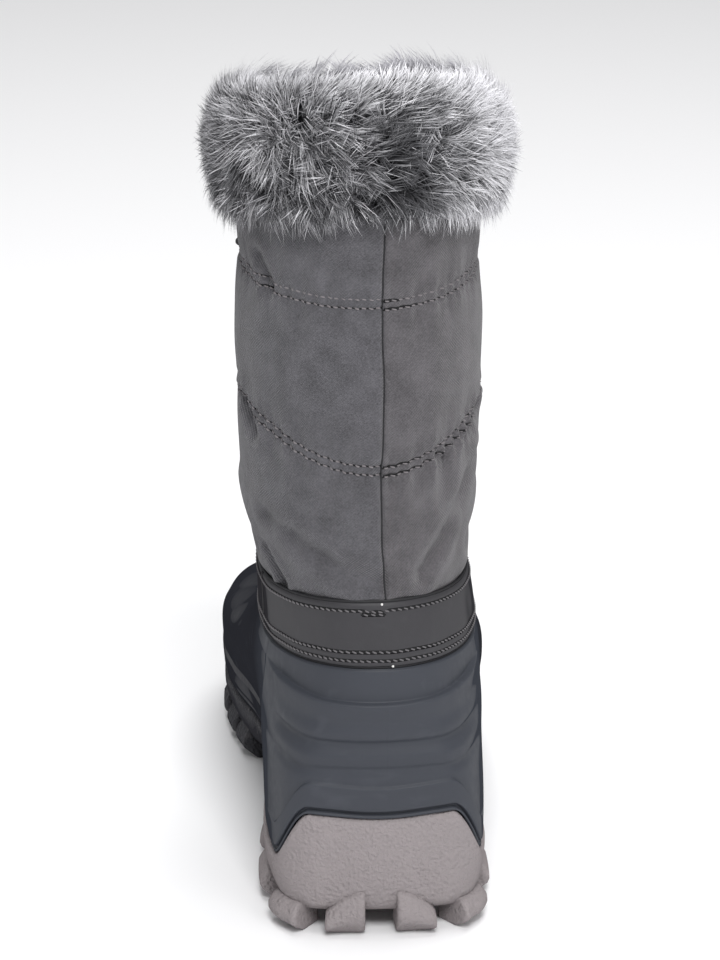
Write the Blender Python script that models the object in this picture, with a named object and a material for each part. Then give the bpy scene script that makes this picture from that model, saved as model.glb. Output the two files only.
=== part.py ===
"""Snow boot for a right foot, standing empty on its lugs.

Metres, +Z up, +Y to the toe, +X to the outer side of the foot. The origin is the
middle of the heel's rest pad. A turn runs once round the boot: 0 is the back of
the heel, 0.25 the outer side, 0.5 the toe and 0.75 the inner side.
"""

import math

import bmesh
import bpy
import numpy as np

# Foot and sole
SOLE_LENGTH = 0.280
HEEL_BACK = 0.042
HEEL_WIDTH = 0.0875
BALL_WIDTH = 0.108
HEEL_CUP_HEIGHT = 0.051
TOE_SPRING = 0.012
ARCH_RISE = 0.007
ARCH_SHARES = (0.24, 0.36, 0.50, 0.62)
TRAY_SHARES = (0.22, 0.62)
HEEL_FLOOR = 0.030
FOREFOOT_FLOOR = 0.018
RIM_WALL = 0.0055
RIM_ROUND = 0.0008
TRAY_DRAFT = 0.0005
SOLE_UNDERCUT = 0.005
LUG_DEPTH = 0.009
LUG_PROUD = 0.0018
LUG_REACH = 0.015
LUG_EMBED = 0.006
LUG_DRAFT = 0.006
HEEL_LUG_CLIMB = 0.022
FOREFOOT_LUG_CLIMB = 0.015
PAD_LENGTH = 0.022
PAD_WIDTH = 0.024
PAD_FLARE = 1.12
INSOLE_THICKNESS = 0.004
INSOLE_MARGIN = 0.0025
INSOLE_ROUND = 0.0008

# Shell
COLLAR_HEIGHT = 0.110
SHELL_WALL = 0.003
STEP_HEIGHT = 0.013
LINE_HEIGHT = 0.097
LINE_RISE = 0.002
COUNTER_EDGE = 0.0014
STEP_SOFTNESS = 0.0016
STEP_PROUD = 0.0009
SHOULDER_SINK = 0.0007
SHELL_INSET = 0.001
RIM_GAP = 0.0005
LIP_HEIGHT = 0.008

# Shaft
SHAFT_HEIGHT = 0.303
COLLAR_DROP = 0.024
CALF_WIDTH = 0.0895
CALF_DEPTH = 0.115
SHAFT_WALL = 0.004
LEAN = 0.0052
LEAN_START = 0.090
LEAN_END = 0.170
LOW_SEAM_HEIGHT = 0.189
LOW_SEAM_RISE = 0.018
HIGH_SEAM_HEIGHT = 0.254
HIGH_SEAM_RISE = 0.0035
PUFF = 0.0022
BAND_HEIGHT = 0.027
BAND_RISE = 0.014
BAND_WALL = 0.002
FACING_WALL = 0.0016
TONGUE_WALL = 0.004
TONGUE_BELOW_EDGE = 0.009
TONGUE_TUCK = 0.004
TONGUE_CLEARANCE = 0.0009

# Fur
FUR_OVERLAP = 0.010
FUR_HEIGHT = 0.043
FUR_DEPTH = 0.0125
FUR_INNER_DEPTH = 0.009
LOCK_LENGTH = 0.022
LOCK_WIDTH = 0.014
LOCK_ROOT = 0.004
LOCK_THICKNESS = 0.0042
LOCK_SWEEP = 0.0035
LOCK_LEAN = 0.28
LOCK_WANDER = 0.18
LOCK_SHORTEST = 0.85
LOCK_VARIETY = 0.2
LINING_GRIP = 0.004
FUR_CLEARANCE = 0.0011

# Lacing
LACE_DIAMETER = 0.004
LACE_CLEARANCE = 0.0011
LOOP_WIRE = 0.0022
LOOP_COUNT = 5
LOOP_ABOVE_COLLAR = 0.008
LOOP_BELOW_EDGE = 0.054

GAP = 0.0003

STATIONS = 64
BAND_END = 22
FACING_END = 23
THROAT_EDGE = 27
FUR_STATIONS = 36
BACK_SEAM_TURN = 0.0155
ROUND = 2 * math.pi

# Sole outline. along: share of SOLE_LENGTH; outer, inner: shares of the local width
OUTLINE_COLUMNS = ("turn", "along", "outer", "inner")
OUTLINE = (
    (0.000, 0.000, 0.000, 0.000),
    (0.030, 0.003, 0.165, 0.165),
    (0.070, 0.016, 0.352, 0.352),
    (0.098, 0.047, 0.443, 0.441),
    (0.130, 0.116, 0.487, 0.483),
    (0.190, 0.268, 0.499, 0.472),
    (0.250, 0.418, 0.438, 0.372),
    (0.310, 0.571, 0.462, 0.385),
    (0.360, 0.693, 0.478, 0.452),
    (0.400, 0.786, 0.446, 0.478),
    (0.440, 0.889, 0.362, 0.440),
    (0.470, 0.962, 0.222, 0.328),
    (0.500, 1.000, -0.065, 0.065),
)

# Heights round the boot. rim: share of HEEL_CUP_HEIGHT; top: share of COLLAR_HEIGHT
HEIGHT_COLUMNS = ("turn", "rim", "top")
HEIGHTS = (
    (0.000, 1.000, 1.000),
    (0.060, 0.995, 0.996),
    (0.112, 0.540, 0.985),
    (0.150, 0.530, 0.974),
    (0.190, 0.530, 0.960),
    (0.250, 0.550, 0.945),
    (0.310, 0.520, 0.925),
    (0.360, 0.490, 0.905),
    (0.400, 0.490, 0.890),
    (0.440, 0.540, 0.878),
    (0.470, 0.640, 0.872),
    (0.500, 0.690, 0.870),
)

# Side of the shell at each turn: handles of its profile, shares of BALL_WIDTH.
# rise, lean: up and outward from the sole; reach, drop: outward and down from the top line
SHELL_COLUMNS = ("turn", "rise", "lean", "reach", "drop")
SHELL = (
    (0.000, 0.14, 0.010, 0.025, 0.12),
    (0.070, 0.16, 0.012, 0.030, 0.14),
    (0.125, 0.24, 0.018, 0.040, 0.17),
    (0.190, 0.26, 0.020, 0.050, 0.24),
    (0.250, 0.27, 0.020, 0.090, 0.28),
    (0.310, 0.29, 0.018, 0.150, 0.28),
    (0.360, 0.31, 0.018, 0.230, 0.27),
    (0.400, 0.32, 0.020, 0.320, 0.26),
    (0.440, 0.36, 0.035, 0.400, 0.25),
    (0.470, 0.38, 0.045, 0.450, 0.24),
    (0.500, 0.39, 0.050, 0.480, 0.24),
)

# Levels of the shell at the heel. share: of the height between the back's step and the line;
# relief: how far the level stands out. The first follows the step round the boot
LEVEL_COLUMNS = ("share", "relief")
RIB_LEVELS = (
    (0.00, 0.0),
    (0.17, -0.0007),
    (0.33, 0.0003),
    (0.50, -0.0010),
    (0.62, 0.0003),
    (0.80, 0.0002),
    (0.97, 0.0009),
)

# Shaft sections. height: share of SHAFT_HEIGHT; half: of CALF_WIDTH; back, front: of CALF_DEPTH
SHAFT_COLUMNS = ("height", "half", "back", "front")
SHAFT = (
    (0.287, 0.462, 0.352, 0.985),
    (0.364, 0.440, 0.346, 0.925),
    (0.411, 0.432, 0.338, 0.848),
    (0.452, 0.431, 0.333, 0.776),
    (0.497, 0.445, 0.328, 0.715),
    (0.546, 0.466, 0.338, 0.668),
    (0.613, 0.486, 0.354, 0.638),
    (0.684, 0.495, 0.365, 0.624),
    (0.766, 0.496, 0.374, 0.618),
    (0.848, 0.490, 0.380, 0.618),
    (0.957, 0.484, 0.384, 0.620),
    (1.150, 0.484, 0.386, 0.622),
)
SHAFT_ROUNDNESS = 2.2

# Fur section. out: share of FUR_DEPTH (or of FUR_INNER_DEPTH where negative); up: of FUR_HEIGHT
FUR_COLUMNS = ("out", "up")
FUR_OUTER = (
    (0.50, -0.02),
    (0.86, 0.12),
    (1.00, 0.36),
    (0.98, 0.60),
    (0.80, 0.82),
    (0.45, 0.96),
    (0.00, 1.00),
    (-0.50, 0.96),
    (-0.90, 0.82),
    (-1.00, 0.60),
    (-0.85, 0.36),
)

# Rows of fur locks. up: share of FUR_HEIGHT; droop: how far a lock falls, share of its length;
# count: locks in the row; shift: how far the row is turned on, share of a lock's place
LOCK_COLUMNS = ("up", "droop", "count", "shift")
LOCK_ROWS = (
    (0.26, 0.75, 14, 0.0),
    (0.62, 0.60, 11, 0.4),
    (0.88, -0.20, 8, 0.7),
)

# A lock's rings. share: of its length; size: of its width and thickness
LOCK_RINGS = ((0.0, 1.0), (0.45, 0.9), (0.8, 0.45))

# Lugs of the edge. first, last: turns between which a lug runs; near, far: how high its
# two ends climb, shares of the climb there
EDGE_LUG_COLUMNS = ("first", "last", "near", "far")
EDGE_LUGS = (
    (0.012, 0.046, 1.00, 0.50),
    (0.072, 0.113, 0.66, 0.66),
    (0.136, 0.170, 0.72, 0.72),
    (0.192, 0.224, 0.75, 0.75),
    (0.334, 0.353, 1.00, 1.00),
    (0.362, 0.382, 1.00, 1.00),
    (0.394, 0.414, 1.00, 1.00),
    (0.426, 0.446, 1.00, 1.00),
    (0.458, 0.484, 1.00, 1.00),
)

# Lugs of the middle. along: share of SOLE_LENGTH; across: share of BALL_WIDTH;
# long, wide: shares of PAD_LENGTH and PAD_WIDTH
MIDDLE_LUG_COLUMNS = ("along", "across", "long", "wide")
MIDDLE_LUGS = (
    (0.150, 0.00, 1.00, 1.00),
    (0.262, 0.00, 0.70, 0.90),
    (0.565, -0.11, 0.70, 0.70),
    (0.575, 0.14, 0.70, 0.70),
    (0.640, 0.01, 0.80, 1.10),
    (0.740, -0.14, 0.80, 0.80),
    (0.735, 0.12, 0.80, 0.80),
    (0.835, -0.02, 0.75, 1.00),
)


def column(table, names, name):
    """One named column of a table."""
    return np.array([row[names.index(name)] for row in table])


def eased(at, knots, values):
    """A smooth curve through the values: cubic pieces that share their slopes."""
    slopes = np.gradient(values, knots)
    at = np.clip(at, knots[0], knots[-1])
    i = np.clip(np.searchsorted(knots, at, side="right") - 1, 0, len(knots) - 2)
    span = knots[i + 1] - knots[i]
    s = (at - knots[i]) / span
    rest = 1 - s
    ends = values[i] * (1 + 2 * s) * rest**2 + values[i + 1] * (3 - 2 * s) * s**2
    return ends + span * s * rest * (slopes[i] * rest - slopes[i + 1] * s)


def folded(turn):
    """A turn measured from the heel along whichever side it lies on, 0 to 0.5."""
    turn = np.mod(turn, 1.0)
    return np.minimum(turn, 1 - turn)


def ramp(value, low, high):
    """0 below low, 1 above high, smooth between."""
    s = np.clip((value - low) / (high - low), 0, 1)
    return s * s * (3 - 2 * s)


def outline_point(turn):
    """(x, y) of the sole's outline."""
    knots = column(OUTLINE, OUTLINE_COLUMNS, "turn")
    along = column(OUTLINE, OUTLINE_COLUMNS, "along")
    outer = column(OUTLINE, OUTLINE_COLUMNS, "outer")
    inner = column(OUTLINE, OUTLINE_COLUMNS, "inner")
    ring_turns = np.concatenate((knots, 1 - knots[-2:0:-1]))
    ring_turns = np.concatenate((ring_turns[-3:] - 1, ring_turns, ring_turns[:4] + 1))
    width = HEEL_WIDTH + (BALL_WIDTH - HEEL_WIDTH) * ramp(along, 0.25, 0.55)
    xs = np.concatenate((outer * width, -(inner * width)[-2:0:-1]))
    ys = np.concatenate((along, along[-2:0:-1])) * SOLE_LENGTH - HEEL_BACK
    xs = np.concatenate((xs[-3:], xs, xs[:4]))
    ys = np.concatenate((ys[-3:], ys, ys[:4]))
    turn = np.mod(turn, 1.0)
    return np.stack((eased(turn, ring_turns, xs), eased(turn, ring_turns, ys)), axis=-1)


def outline_normal(turn):
    """The outward direction of the outline, level."""
    step = 0.004
    along = outline_point(turn + step) - outline_point(turn - step)
    along /= np.linalg.norm(along, axis=-1, keepdims=True)
    return np.stack((along[..., 1], -along[..., 0]), axis=-1)


def outline(turn, out, height):
    """Points at a height, out from the sole's outline."""
    turn = np.asarray(turn, dtype=float)
    flat = outline_point(turn) + outline_normal(turn) * np.asarray(out)[..., None]
    height = np.broadcast_to(height, turn.shape)
    return np.concatenate((flat, height[..., None]), axis=-1)


def share_along(y):
    """The share of the sole's length from the heel at y."""
    return (y + HEEL_BACK) / SOLE_LENGTH


def ground(y):
    """Height of the tread's resting surface: flat, then up with the toe spring."""
    return TOE_SPRING * np.clip((share_along(y) - 0.68) / 0.32, 0, 1) ** 2


def root(y):
    """Height of the sole between its lugs, raised under the arch."""
    share = share_along(y)
    arch = ramp(share, *ARCH_SHARES[:2]) * (1 - ramp(share, *ARCH_SHARES[2:]))
    return ground(y) + LUG_DEPTH + ARCH_RISE * arch


def floor(y):
    """Height of the sole's tray, under the insole."""
    share = share_along(y)
    drop = (HEEL_FLOOR - FOREFOOT_FLOOR) * ramp(share, *TRAY_SHARES)
    return ground(y) + HEEL_FLOOR - drop


def rim(turn):
    """Height of the sole's rim, with straight slopes at the heel's cup."""
    knots = column(HEIGHTS, HEIGHT_COLUMNS, "turn")
    return HEEL_CUP_HEIGHT * np.interp(folded(turn), knots, column(HEIGHTS, HEIGHT_COLUMNS, "rim"))


def shell_foot(turn):
    """Height of the shell's lower edge: clear of the rim by its gap, square to the rim's slope."""
    step = 0.004
    climb = rim(turn + step) - rim(turn - step)
    run = np.linalg.norm(outline_point(turn + step) - outline_point(turn - step), axis=-1)
    return rim(turn) + RIM_GAP * np.hypot(1, climb / run)


def top_line(turn):
    """Height of the shell's top line."""
    knots = column(HEIGHTS, HEIGHT_COLUMNS, "turn")
    return COLLAR_HEIGHT * eased(folded(turn), knots, column(HEIGHTS, HEIGHT_COLUMNS, "top"))


def band_top(turn):
    """Height of the ankle band's upper edge, which climbs towards the throat."""
    climb = BAND_RISE * ramp(folded(turn), 0.24, BAND_END / STATIONS)
    return top_line(turn) + BAND_HEIGHT + climb


def side(turn):
    """0 at the back, 1 from the widest part forward."""
    return ramp(folded(turn), 0.0, 0.25)


def low_seam(turn):
    """Height of the lower quilting seam, lowest at the back seam."""
    return LOW_SEAM_HEIGHT + LOW_SEAM_RISE * side(turn - BACK_SEAM_TURN)


def high_seam(turn):
    """Height of the upper quilting seam, lowest at the back seam."""
    return HIGH_SEAM_HEIGHT + HIGH_SEAM_RISE * side(turn - BACK_SEAM_TURN)


def shaft_top(turn):
    """Height of the shaft's upper edge, which drops towards the front."""
    return SHAFT_HEIGHT - COLLAR_DROP * (1 - np.cos(ROUND * turn)) / 2


def leg(turn, height, out=0.0):
    """The shaft's plain form, without its quilting, and points out from it."""
    turn, height = np.broadcast_arrays(np.asarray(turn, float), np.asarray(height, float))

    def form(t, h):
        knots = column(SHAFT, SHAFT_COLUMNS, "height")
        half = CALF_WIDTH * eased(h / SHAFT_HEIGHT, knots, column(SHAFT, SHAFT_COLUMNS, "half"))
        back = -CALF_DEPTH * eased(h / SHAFT_HEIGHT, knots, column(SHAFT, SHAFT_COLUMNS, "back"))
        front = CALF_DEPTH * eased(h / SHAFT_HEIGHT, knots, column(SHAFT, SHAFT_COLUMNS, "front"))
        s, c = np.sin(ROUND * t), np.cos(ROUND * t)
        power = 2 / SHAFT_ROUNDNESS
        x = half * np.sign(s) * np.abs(s) ** power - LEAN * ramp(h, LEAN_START, LEAN_END)
        y = (front + back) / 2 - (front - back) / 2 * np.sign(c) * np.abs(c) ** power
        return np.stack((x, y, h), axis=-1)

    step, rise = 0.004, 0.001
    along = form(turn + step, height) - form(turn - step, height)
    up = form(turn, height + rise) - form(turn, height - rise)
    normal = np.cross(along, up)
    normal /= np.linalg.norm(normal, axis=-1, keepdims=True)
    return form(turn, height) + normal * np.asarray(out)[..., None]


def puff(share):
    """How far the quilting stands out, at a share of the height between two seams."""
    return PUFF * np.sin(math.pi * np.clip(share, 0, 1)) ** 0.7


def material(name, colour, roughness, metallic=0.0):
    """A plain Principled material."""
    made = bpy.data.materials.new(name)
    made.use_nodes = True
    shader = made.node_tree.nodes["Principled BSDF"]
    shader.inputs["Base Color"].default_value = (*colour, 1.0)
    shader.inputs["Roughness"].default_value = roughness
    shader.inputs["Metallic"].default_value = metallic
    made.diffuse_color = (*colour, 1.0)
    return made


def add_mesh(name, vertices, faces, paint, collection, sharp=40):
    """An object from vertices and faces, its faces turned outward."""
    mesh = bpy.data.meshes.new(name)
    mesh.from_pydata([tuple(map(float, v)) for v in vertices], [], faces)
    shape = bmesh.new()
    shape.from_mesh(mesh)
    bmesh.ops.recalc_face_normals(shape, faces=shape.faces)
    bmesh.ops.triangulate(shape, faces=shape.faces)
    shape.to_mesh(mesh)
    shape.free()
    mesh.shade_smooth()
    mesh.set_sharp_from_angle(angle=math.radians(sharp))
    made = bpy.data.objects.new(name, mesh)
    if paint:
        mesh.materials.append(paint)
    collection.objects.link(made)
    return made


def ring_faces(count, size, closed):
    """Quads between neighbouring sections of `size` points each, and end caps if open."""
    faces = []
    for i in range(count if closed else count - 1):
        a, b = i * size, (i + 1) % count * size
        for k in range(size):
            n = (k + 1) % size
            faces.append((a + k, b + k, b + n, a + n))
    if not closed:
        faces.extend(tuple(range(start, start + size)) for start in (0, (count - 1) * size))
    return faces


def wall(name, outer, inner, paint, collection, closed):
    """A wall from grids of points (station, level), outer going up and inner going down."""
    sections = np.concatenate((outer, inner[:, ::-1]), axis=1)
    count, size = sections.shape[:2]
    faces = ring_faces(count, size, closed)
    return add_mesh(name, sections.reshape(-1, 3), faces, paint, collection)


def bowl(name, rings, paint, collection):
    """Rings of points joined into a side, with the first and last ring closed across."""
    levels, count = rings.shape[:2]
    faces = ring_faces(levels, count, closed=False)[:-2]
    for start in (0, (levels - 1) * count):
        for i in range(count // 2):
            near = (start + i, start + i + 1)
            far = (start + count - i - 1, start + (count - i) % count)
            faces.append(tuple(dict.fromkeys((*near, *far))))
    return add_mesh(name, rings.reshape(-1, 3), faces, paint, collection)


def unite(body, extra):
    """Joins a cutter's bodies onto a body."""
    extra.hide_render = True
    extra.display_type = "WIRE"
    union = body.modifiers.new("union", "BOOLEAN")
    union.operation = "UNION"
    union.solver = "EXACT"
    union.object = extra


def edge_lug(mirror, first, last, near, far):
    """Sections of a lug that climbs the sole's side between two turns."""
    turns = np.linspace(first, last, 3)
    heel = 1 - ramp(turns, 0.19, 0.30)
    climb = FOREFOOT_LUG_CLIMB + (HEEL_LUG_CLIMB - FOREFOOT_LUG_CLIMB) * heel
    climb = climb * np.linspace(near, far, 3)
    if mirror:
        turns = 1 - turns
    y = outline_point(turns)[:, 1]
    low = ground(y)
    profile = (
        (-LUG_DRAFT, low),
        (LUG_PROUD * heel, low + 0.4 * climb),
        (0.6 * LUG_PROUD, low + 0.8 * climb),
        (-LUG_EMBED, low + climb),
        (-LUG_REACH, root(y) + 0.3 * LUG_DEPTH),
        (-LUG_REACH, low),
    )
    return np.stack([outline(turns, np.broadcast_to(out, 3), z) for out, z in profile], axis=1)


def middle_lug(along, across, long, wide):
    """Sections of a six-sided lug under the sole, wider at its root."""
    middle = np.array((across * BALL_WIDTH, along * SOLE_LENGTH - HEEL_BACK))
    corners = np.array(((-0.5, -0.3), (0, -0.5), (0.5, -0.3), (0.5, 0.3), (0, 0.5), (-0.5, 0.3)))
    flat = corners * (wide * PAD_WIDTH, long * PAD_LENGTH)
    low = ground(middle[1])
    high = root(middle[1]) + 0.4 * LUG_DEPTH
    bottom = np.concatenate((flat + middle, np.full((6, 1), low)), axis=1)
    top = np.concatenate((flat * PAD_FLARE + middle, np.full((6, 1), high)), axis=1)
    return np.stack((bottom, top))


def add_lugs(collection):
    """All lugs as one cutter of separate bodies."""
    vertices, faces = [], []

    def keep(points, made):
        start = len(vertices)
        vertices.extend(points.reshape(-1, 3))
        faces.extend(tuple(start + k for k in face) for face in made)

    for row in EDGE_LUGS:
        for mirror in (False, True):
            sections = edge_lug(mirror, **dict(zip(EDGE_LUG_COLUMNS, row)))
            keep(sections, ring_faces(*sections.shape[:2], closed=False))
    for row in MIDDLE_LUGS:
        sections = middle_lug(**dict(zip(MIDDLE_LUG_COLUMNS, row)))
        sides = [(k, (k + 1) % 6, (k + 1) % 6 + 6, k + 6) for k in range(6)]
        keep(sections, [*sides, tuple(range(6)), tuple(range(6, 12))])
    return add_mesh("lugs", vertices, faces, None, collection)


def add_outsole(turns, paint, parts, cutters):
    """The sole: a side that steps in to its rim, a tray above and lugs below."""
    y = outline_point(turns)[:, 1]
    edge = rim(turns)
    rest = root(y)
    profile = (
        (-SOLE_UNDERCUT, rest),
        (-0.4 * SOLE_UNDERCUT, rest + 0.45 * LUG_DEPTH),
        (0.0, (rest + edge) / 2),
        (0.0, edge - 3 * RIM_ROUND),
        (-RIM_ROUND, edge),
        (-RIM_WALL, edge),
        (-RIM_WALL - TRAY_DRAFT, floor(y)),
    )
    rings = np.stack([outline(turns, np.full(len(turns), out), z) for out, z in profile])
    sole = bowl("outsole", rings, paint, parts)
    unite(sole, add_lugs(cutters))
    return sole


def add_insole(turns, paint, parts):
    """The insole: a thin pad in the tray, dished a little under the heel."""
    inset = RIM_WALL + INSOLE_MARGIN
    y = outline_point(turns)[:, 1]
    low = floor(y) + GAP
    profile = (
        (-inset, low),
        (-inset + INSOLE_ROUND, low + 0.5 * INSOLE_THICKNESS),
        (-inset, low + INSOLE_THICKNESS),
    )
    rings = np.stack([outline(turns, np.full(len(turns), out), z) for out, z in profile])
    return bowl("insole", rings, paint, parts)


def shell_form(turns):
    """The shell's plain form: profiles from the sole's rim to its top line, (station, sample)."""
    knots = column(SHELL, SHELL_COLUMNS, "turn")
    at = folded(turns)
    rise, lean, reach, drop = (
        BALL_WIDTH * eased(at, knots, column(SHELL, SHELL_COLUMNS, name)) for name in SHELL_COLUMNS[1:]
    )
    low = outline(turns, np.full(len(turns), -SHELL_INSET), shell_foot(turns))
    high = leg(turns, top_line(turns), np.full(len(turns), BAND_WALL + GAP))
    out = np.concatenate((outline_normal(turns), np.zeros((len(turns), 1))), axis=1)
    up = np.array((0.0, 0.0, 1.0))
    first = low + out * lean[:, None] + up * rise[:, None]
    second = high + out * reach[:, None] - up * drop[:, None]
    s = np.linspace(0, 1, 41)[None, :, None]
    curve = low[:, None] * (1 - s) ** 3 + first[:, None] * 3 * s * (1 - s) ** 2
    return curve + second[:, None] * 3 * s**2 * (1 - s) + high[:, None] * s**3


def shell_levels(turns, curve):
    """Places of the levels along each profile, and how far each stands out."""
    edge = shell_foot(turns)
    step = edge + STEP_HEIGHT
    line = LINE_HEIGHT + LINE_RISE * side(turns)
    top = top_line(turns)
    back = HEEL_CUP_HEIGHT + STEP_HEIGHT
    ribs = back + (line - back)[:, None] * column(RIB_LEVELS, LEVEL_COLUMNS, "share")
    ribs[:, 0] = step
    shoulder = line + 0.45 * (top - line)
    heights = np.column_stack((edge, step - STEP_SOFTNESS, ribs, line, shoulder, top))
    rib_relief = column(RIB_LEVELS, LEVEL_COLUMNS, "relief")
    relief = np.concatenate(((0.0, STEP_PROUD), rib_relief, (-SHOULDER_SINK, 0.0, 0.0)))
    levels = heights.shape[1]
    samples = np.linspace(0, 1, curve.shape[1])
    heel = 1 - ramp(folded(turns), 0.14, 0.27)
    even = np.linspace(0, 1, levels)
    places = np.empty_like(heights)
    for i, profile in enumerate(curve):
        climbing = np.maximum.accumulate(profile[:, 2]) + 1e-7 * np.arange(len(samples))
        by_height = np.interp(heights[i], climbing, samples)
        places[i] = heel[i] * by_height + (1 - heel[i]) * even
    places[:, 0], places[:, -1] = 0, 1
    at = folded(turns)
    fade = 1 - ramp(at, 0.17, 0.24)
    counter = -COUNTER_EDGE * ramp(at, 0.185, 0.205) * (1 - ramp(at, 0.25, 0.36))
    reach = np.sin(math.pi * np.linspace(0, 1, levels)) ** 0.5
    return places, relief[None] * fade[:, None] + counter[:, None] * reach


def grid_normals(grid):
    """Outward directions on a grid of (station, level) that closes round its stations."""
    along = np.roll(grid, -1, axis=0) - np.roll(grid, 1, axis=0)
    up = np.gradient(grid, axis=1)
    normal = np.cross(along, up)
    return normal / np.linalg.norm(normal, axis=-1, keepdims=True)


def add_shell(turns, paint, parts):
    """The moulded shell: one wall round the foot, with a lip behind the ankle band."""
    curve = shell_form(turns)
    places, relief = shell_levels(turns, curve)
    samples = np.linspace(0, 1, curve.shape[1])
    form = np.empty((*places.shape, 3))
    for i, profile in enumerate(curve):
        for axis in range(3):
            form[i, :, axis] = np.interp(places[i], samples, profile[:, axis])
    normal = grid_normals(form)
    face = form + normal * relief[..., None]
    top = top_line(turns)
    outside = np.zeros(len(turns))
    inside = outside - SHELL_WALL
    lip = np.stack((leg(turns, top + 2 * GAP, outside), leg(turns, top + LIP_HEIGHT, outside)), axis=1)
    behind = np.stack((leg(turns, top, inside), leg(turns, top + LIP_HEIGHT, inside)), axis=1)
    kept = (0, 4, 7, 10)
    inner = form[:, kept] - normal[:, kept] * SHELL_WALL
    inner[:, 0] = outline(turns, inside - SHELL_INSET, shell_foot(turns))
    outer = np.concatenate((face, lip), axis=1)
    return wall("shell", outer, np.concatenate((inner, behind), axis=1), paint, parts, closed=True)


def throat_turns(edge):
    """Stations from the inner side round the heel to the outer side, up to a station each way."""
    return np.arange(-edge, edge + 1) / STATIONS


def shaft_rows(turns):
    """Heights of the shaft's levels at each station, and their puff: three quilted panels."""
    low = top_line(turns) + LIP_HEIGHT + GAP
    band = band_top(turns)
    panels = (
        (band, low_seam(turns), (0.3, 0.7, 1.0)),
        (low_seam(turns), high_seam(turns), (0.15, 0.5, 0.85, 1.0)),
        (high_seam(turns), shaft_top(turns), (0.4, 1.0)),
    )
    heights = [low, band]
    puffs = [0 * low, 0 * low]
    for start, end, shares in panels:
        for share in shares:
            heights.append(start + (end - start) * share)
            puffs.append(puff(share) + 0 * low)
    return np.stack(heights, axis=1), np.stack(puffs, axis=1)


def on_shaft(turns, heights, out):
    """Points out from the shaft on a grid of (station, level)."""
    return leg(np.broadcast_to(turns[:, None], heights.shape), heights, out)


def add_shaft(paint, parts):
    """The quilted shaft, open in front between the throat's edges."""
    open_turns = throat_turns(THROAT_EDGE)
    heights, puffs = shaft_rows(open_turns)
    outer = on_shaft(open_turns, heights, puffs)
    plain = heights[:, (0, 1, 3, 4, 8, 10)]
    inner = on_shaft(open_turns, plain, np.full(plain.shape, -SHAFT_WALL))
    return wall("shaft", outer, inner, paint, parts, closed=False)


def add_band(paint, parts):
    """The ankle band over the foot of the shaft and the lip of the shell."""
    turns = throat_turns(BAND_END)
    top = top_line(turns)
    low = top + 3 * GAP
    lip = top + LIP_HEIGHT
    end = band_top(turns)
    heights = np.stack((low, lip, end), axis=1)
    inner = on_shaft(turns, heights, np.full(heights.shape, GAP))
    outer = on_shaft(turns, heights, np.full(heights.shape, GAP + BAND_WALL))
    return wall("ankle_band", outer, inner, paint, parts, closed=False)


def add_facing(name, sign, paint, parts):
    """The lace facing over one front edge of the shaft."""
    turns = sign * np.arange(FACING_END, THROAT_EDGE + 1) / STATIONS
    heights, puffs = shaft_rows(turns)
    heights, puffs = heights[:, :-2], puffs[:, :-2]
    inner = on_shaft(turns, heights, puffs + GAP)
    outer = on_shaft(turns, heights, puffs + GAP + FACING_WALL)
    return wall(name, outer, inner, paint, parts, closed=False)


def add_tongue(paint, parts):
    """The tongue behind the throat, from under the vamp to the collar."""
    turns = np.linspace(FACING_END, STATIONS - FACING_END, 9) / STATIONS
    low = top_line(turns) - TONGUE_TUCK
    high = shaft_top(turns) - TONGUE_BELOW_EDGE
    heights = low[:, None] + (high - low)[:, None] * np.linspace(0, 1, 9)
    behind = SHAFT_WALL + TONGUE_CLEARANCE
    outer = on_shaft(turns, heights, np.full(heights.shape, -behind))
    inner = on_shaft(turns, heights, np.full(heights.shape, -behind - TONGUE_WALL))
    return wall("tongue", outer, inner, paint, parts, closed=False)


def fur_surface(turn, out, up):
    """Points of the fur: out from the shaft, up from the fur's lower edge, a little uneven."""
    swell = 1 + 0.05 * np.sin(ROUND * 5 * turn + 0.7) + 0.04 * np.sin(ROUND * 11 * turn + 2.1)
    lift = 0.0012 * np.sin(ROUND * 3 * turn + 1.0) + 0.0010 * np.sin(ROUND * 8 * turn)
    over = FUR_OVERLAP + FUR_CLEARANCE
    above_edge = np.clip((up - over) / (FUR_HEIGHT - over), 0, 1)
    height = shaft_top(turn) - FUR_OVERLAP + up + lift * above_edge
    return leg(turn, height, np.where(out > PUFF + FUR_CLEARANCE, out * swell, out))


def fur_lock(turn, up, droop, length):
    """A tapering lock rooted in the fur: rings of four points and a tip."""
    outer = [row for row in FUR_OUTER if row[0] >= 0]
    shares = column(outer, FUR_COLUMNS, "out")
    ups = column(outer, FUR_COLUMNS, "up")
    root_out = FUR_DEPTH * np.interp(up / FUR_HEIGHT, ups, shares) - LOCK_ROOT
    girth = math.pi * ((CALF_WIDTH + CALF_DEPTH) / 2 + FUR_DEPTH)

    def at(share, aside=0.0, lift=0.0):
        place = turn + (aside + LOCK_SWEEP * share) / girth
        height = shaft_top(place) - FUR_OVERLAP + up - length * droop * share
        return leg(place, height, root_out + length * LOCK_LEAN * share + lift)

    points = []
    for share, size in LOCK_RINGS:
        half = size * LOCK_WIDTH / 2
        thick = size * LOCK_THICKNESS
        points.extend((at(share, -half), at(share, 0, thick), at(share, half), at(share, 0, -thick)))
    points.append(at(1.0))
    rings = len(LOCK_RINGS)
    faces = [(0, 1, 2, 3)]
    for start in range(0, 4 * (rings - 1), 4):
        for k in range(4):
            n = (k + 1) % 4
            faces.append((start + k, start + n, start + 4 + n, start + 4 + k))
    last = 4 * (rings - 1)
    faces.extend((last + k, last + (k + 1) % 4, last + 4) for k in range(4))
    return points, faces


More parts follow.
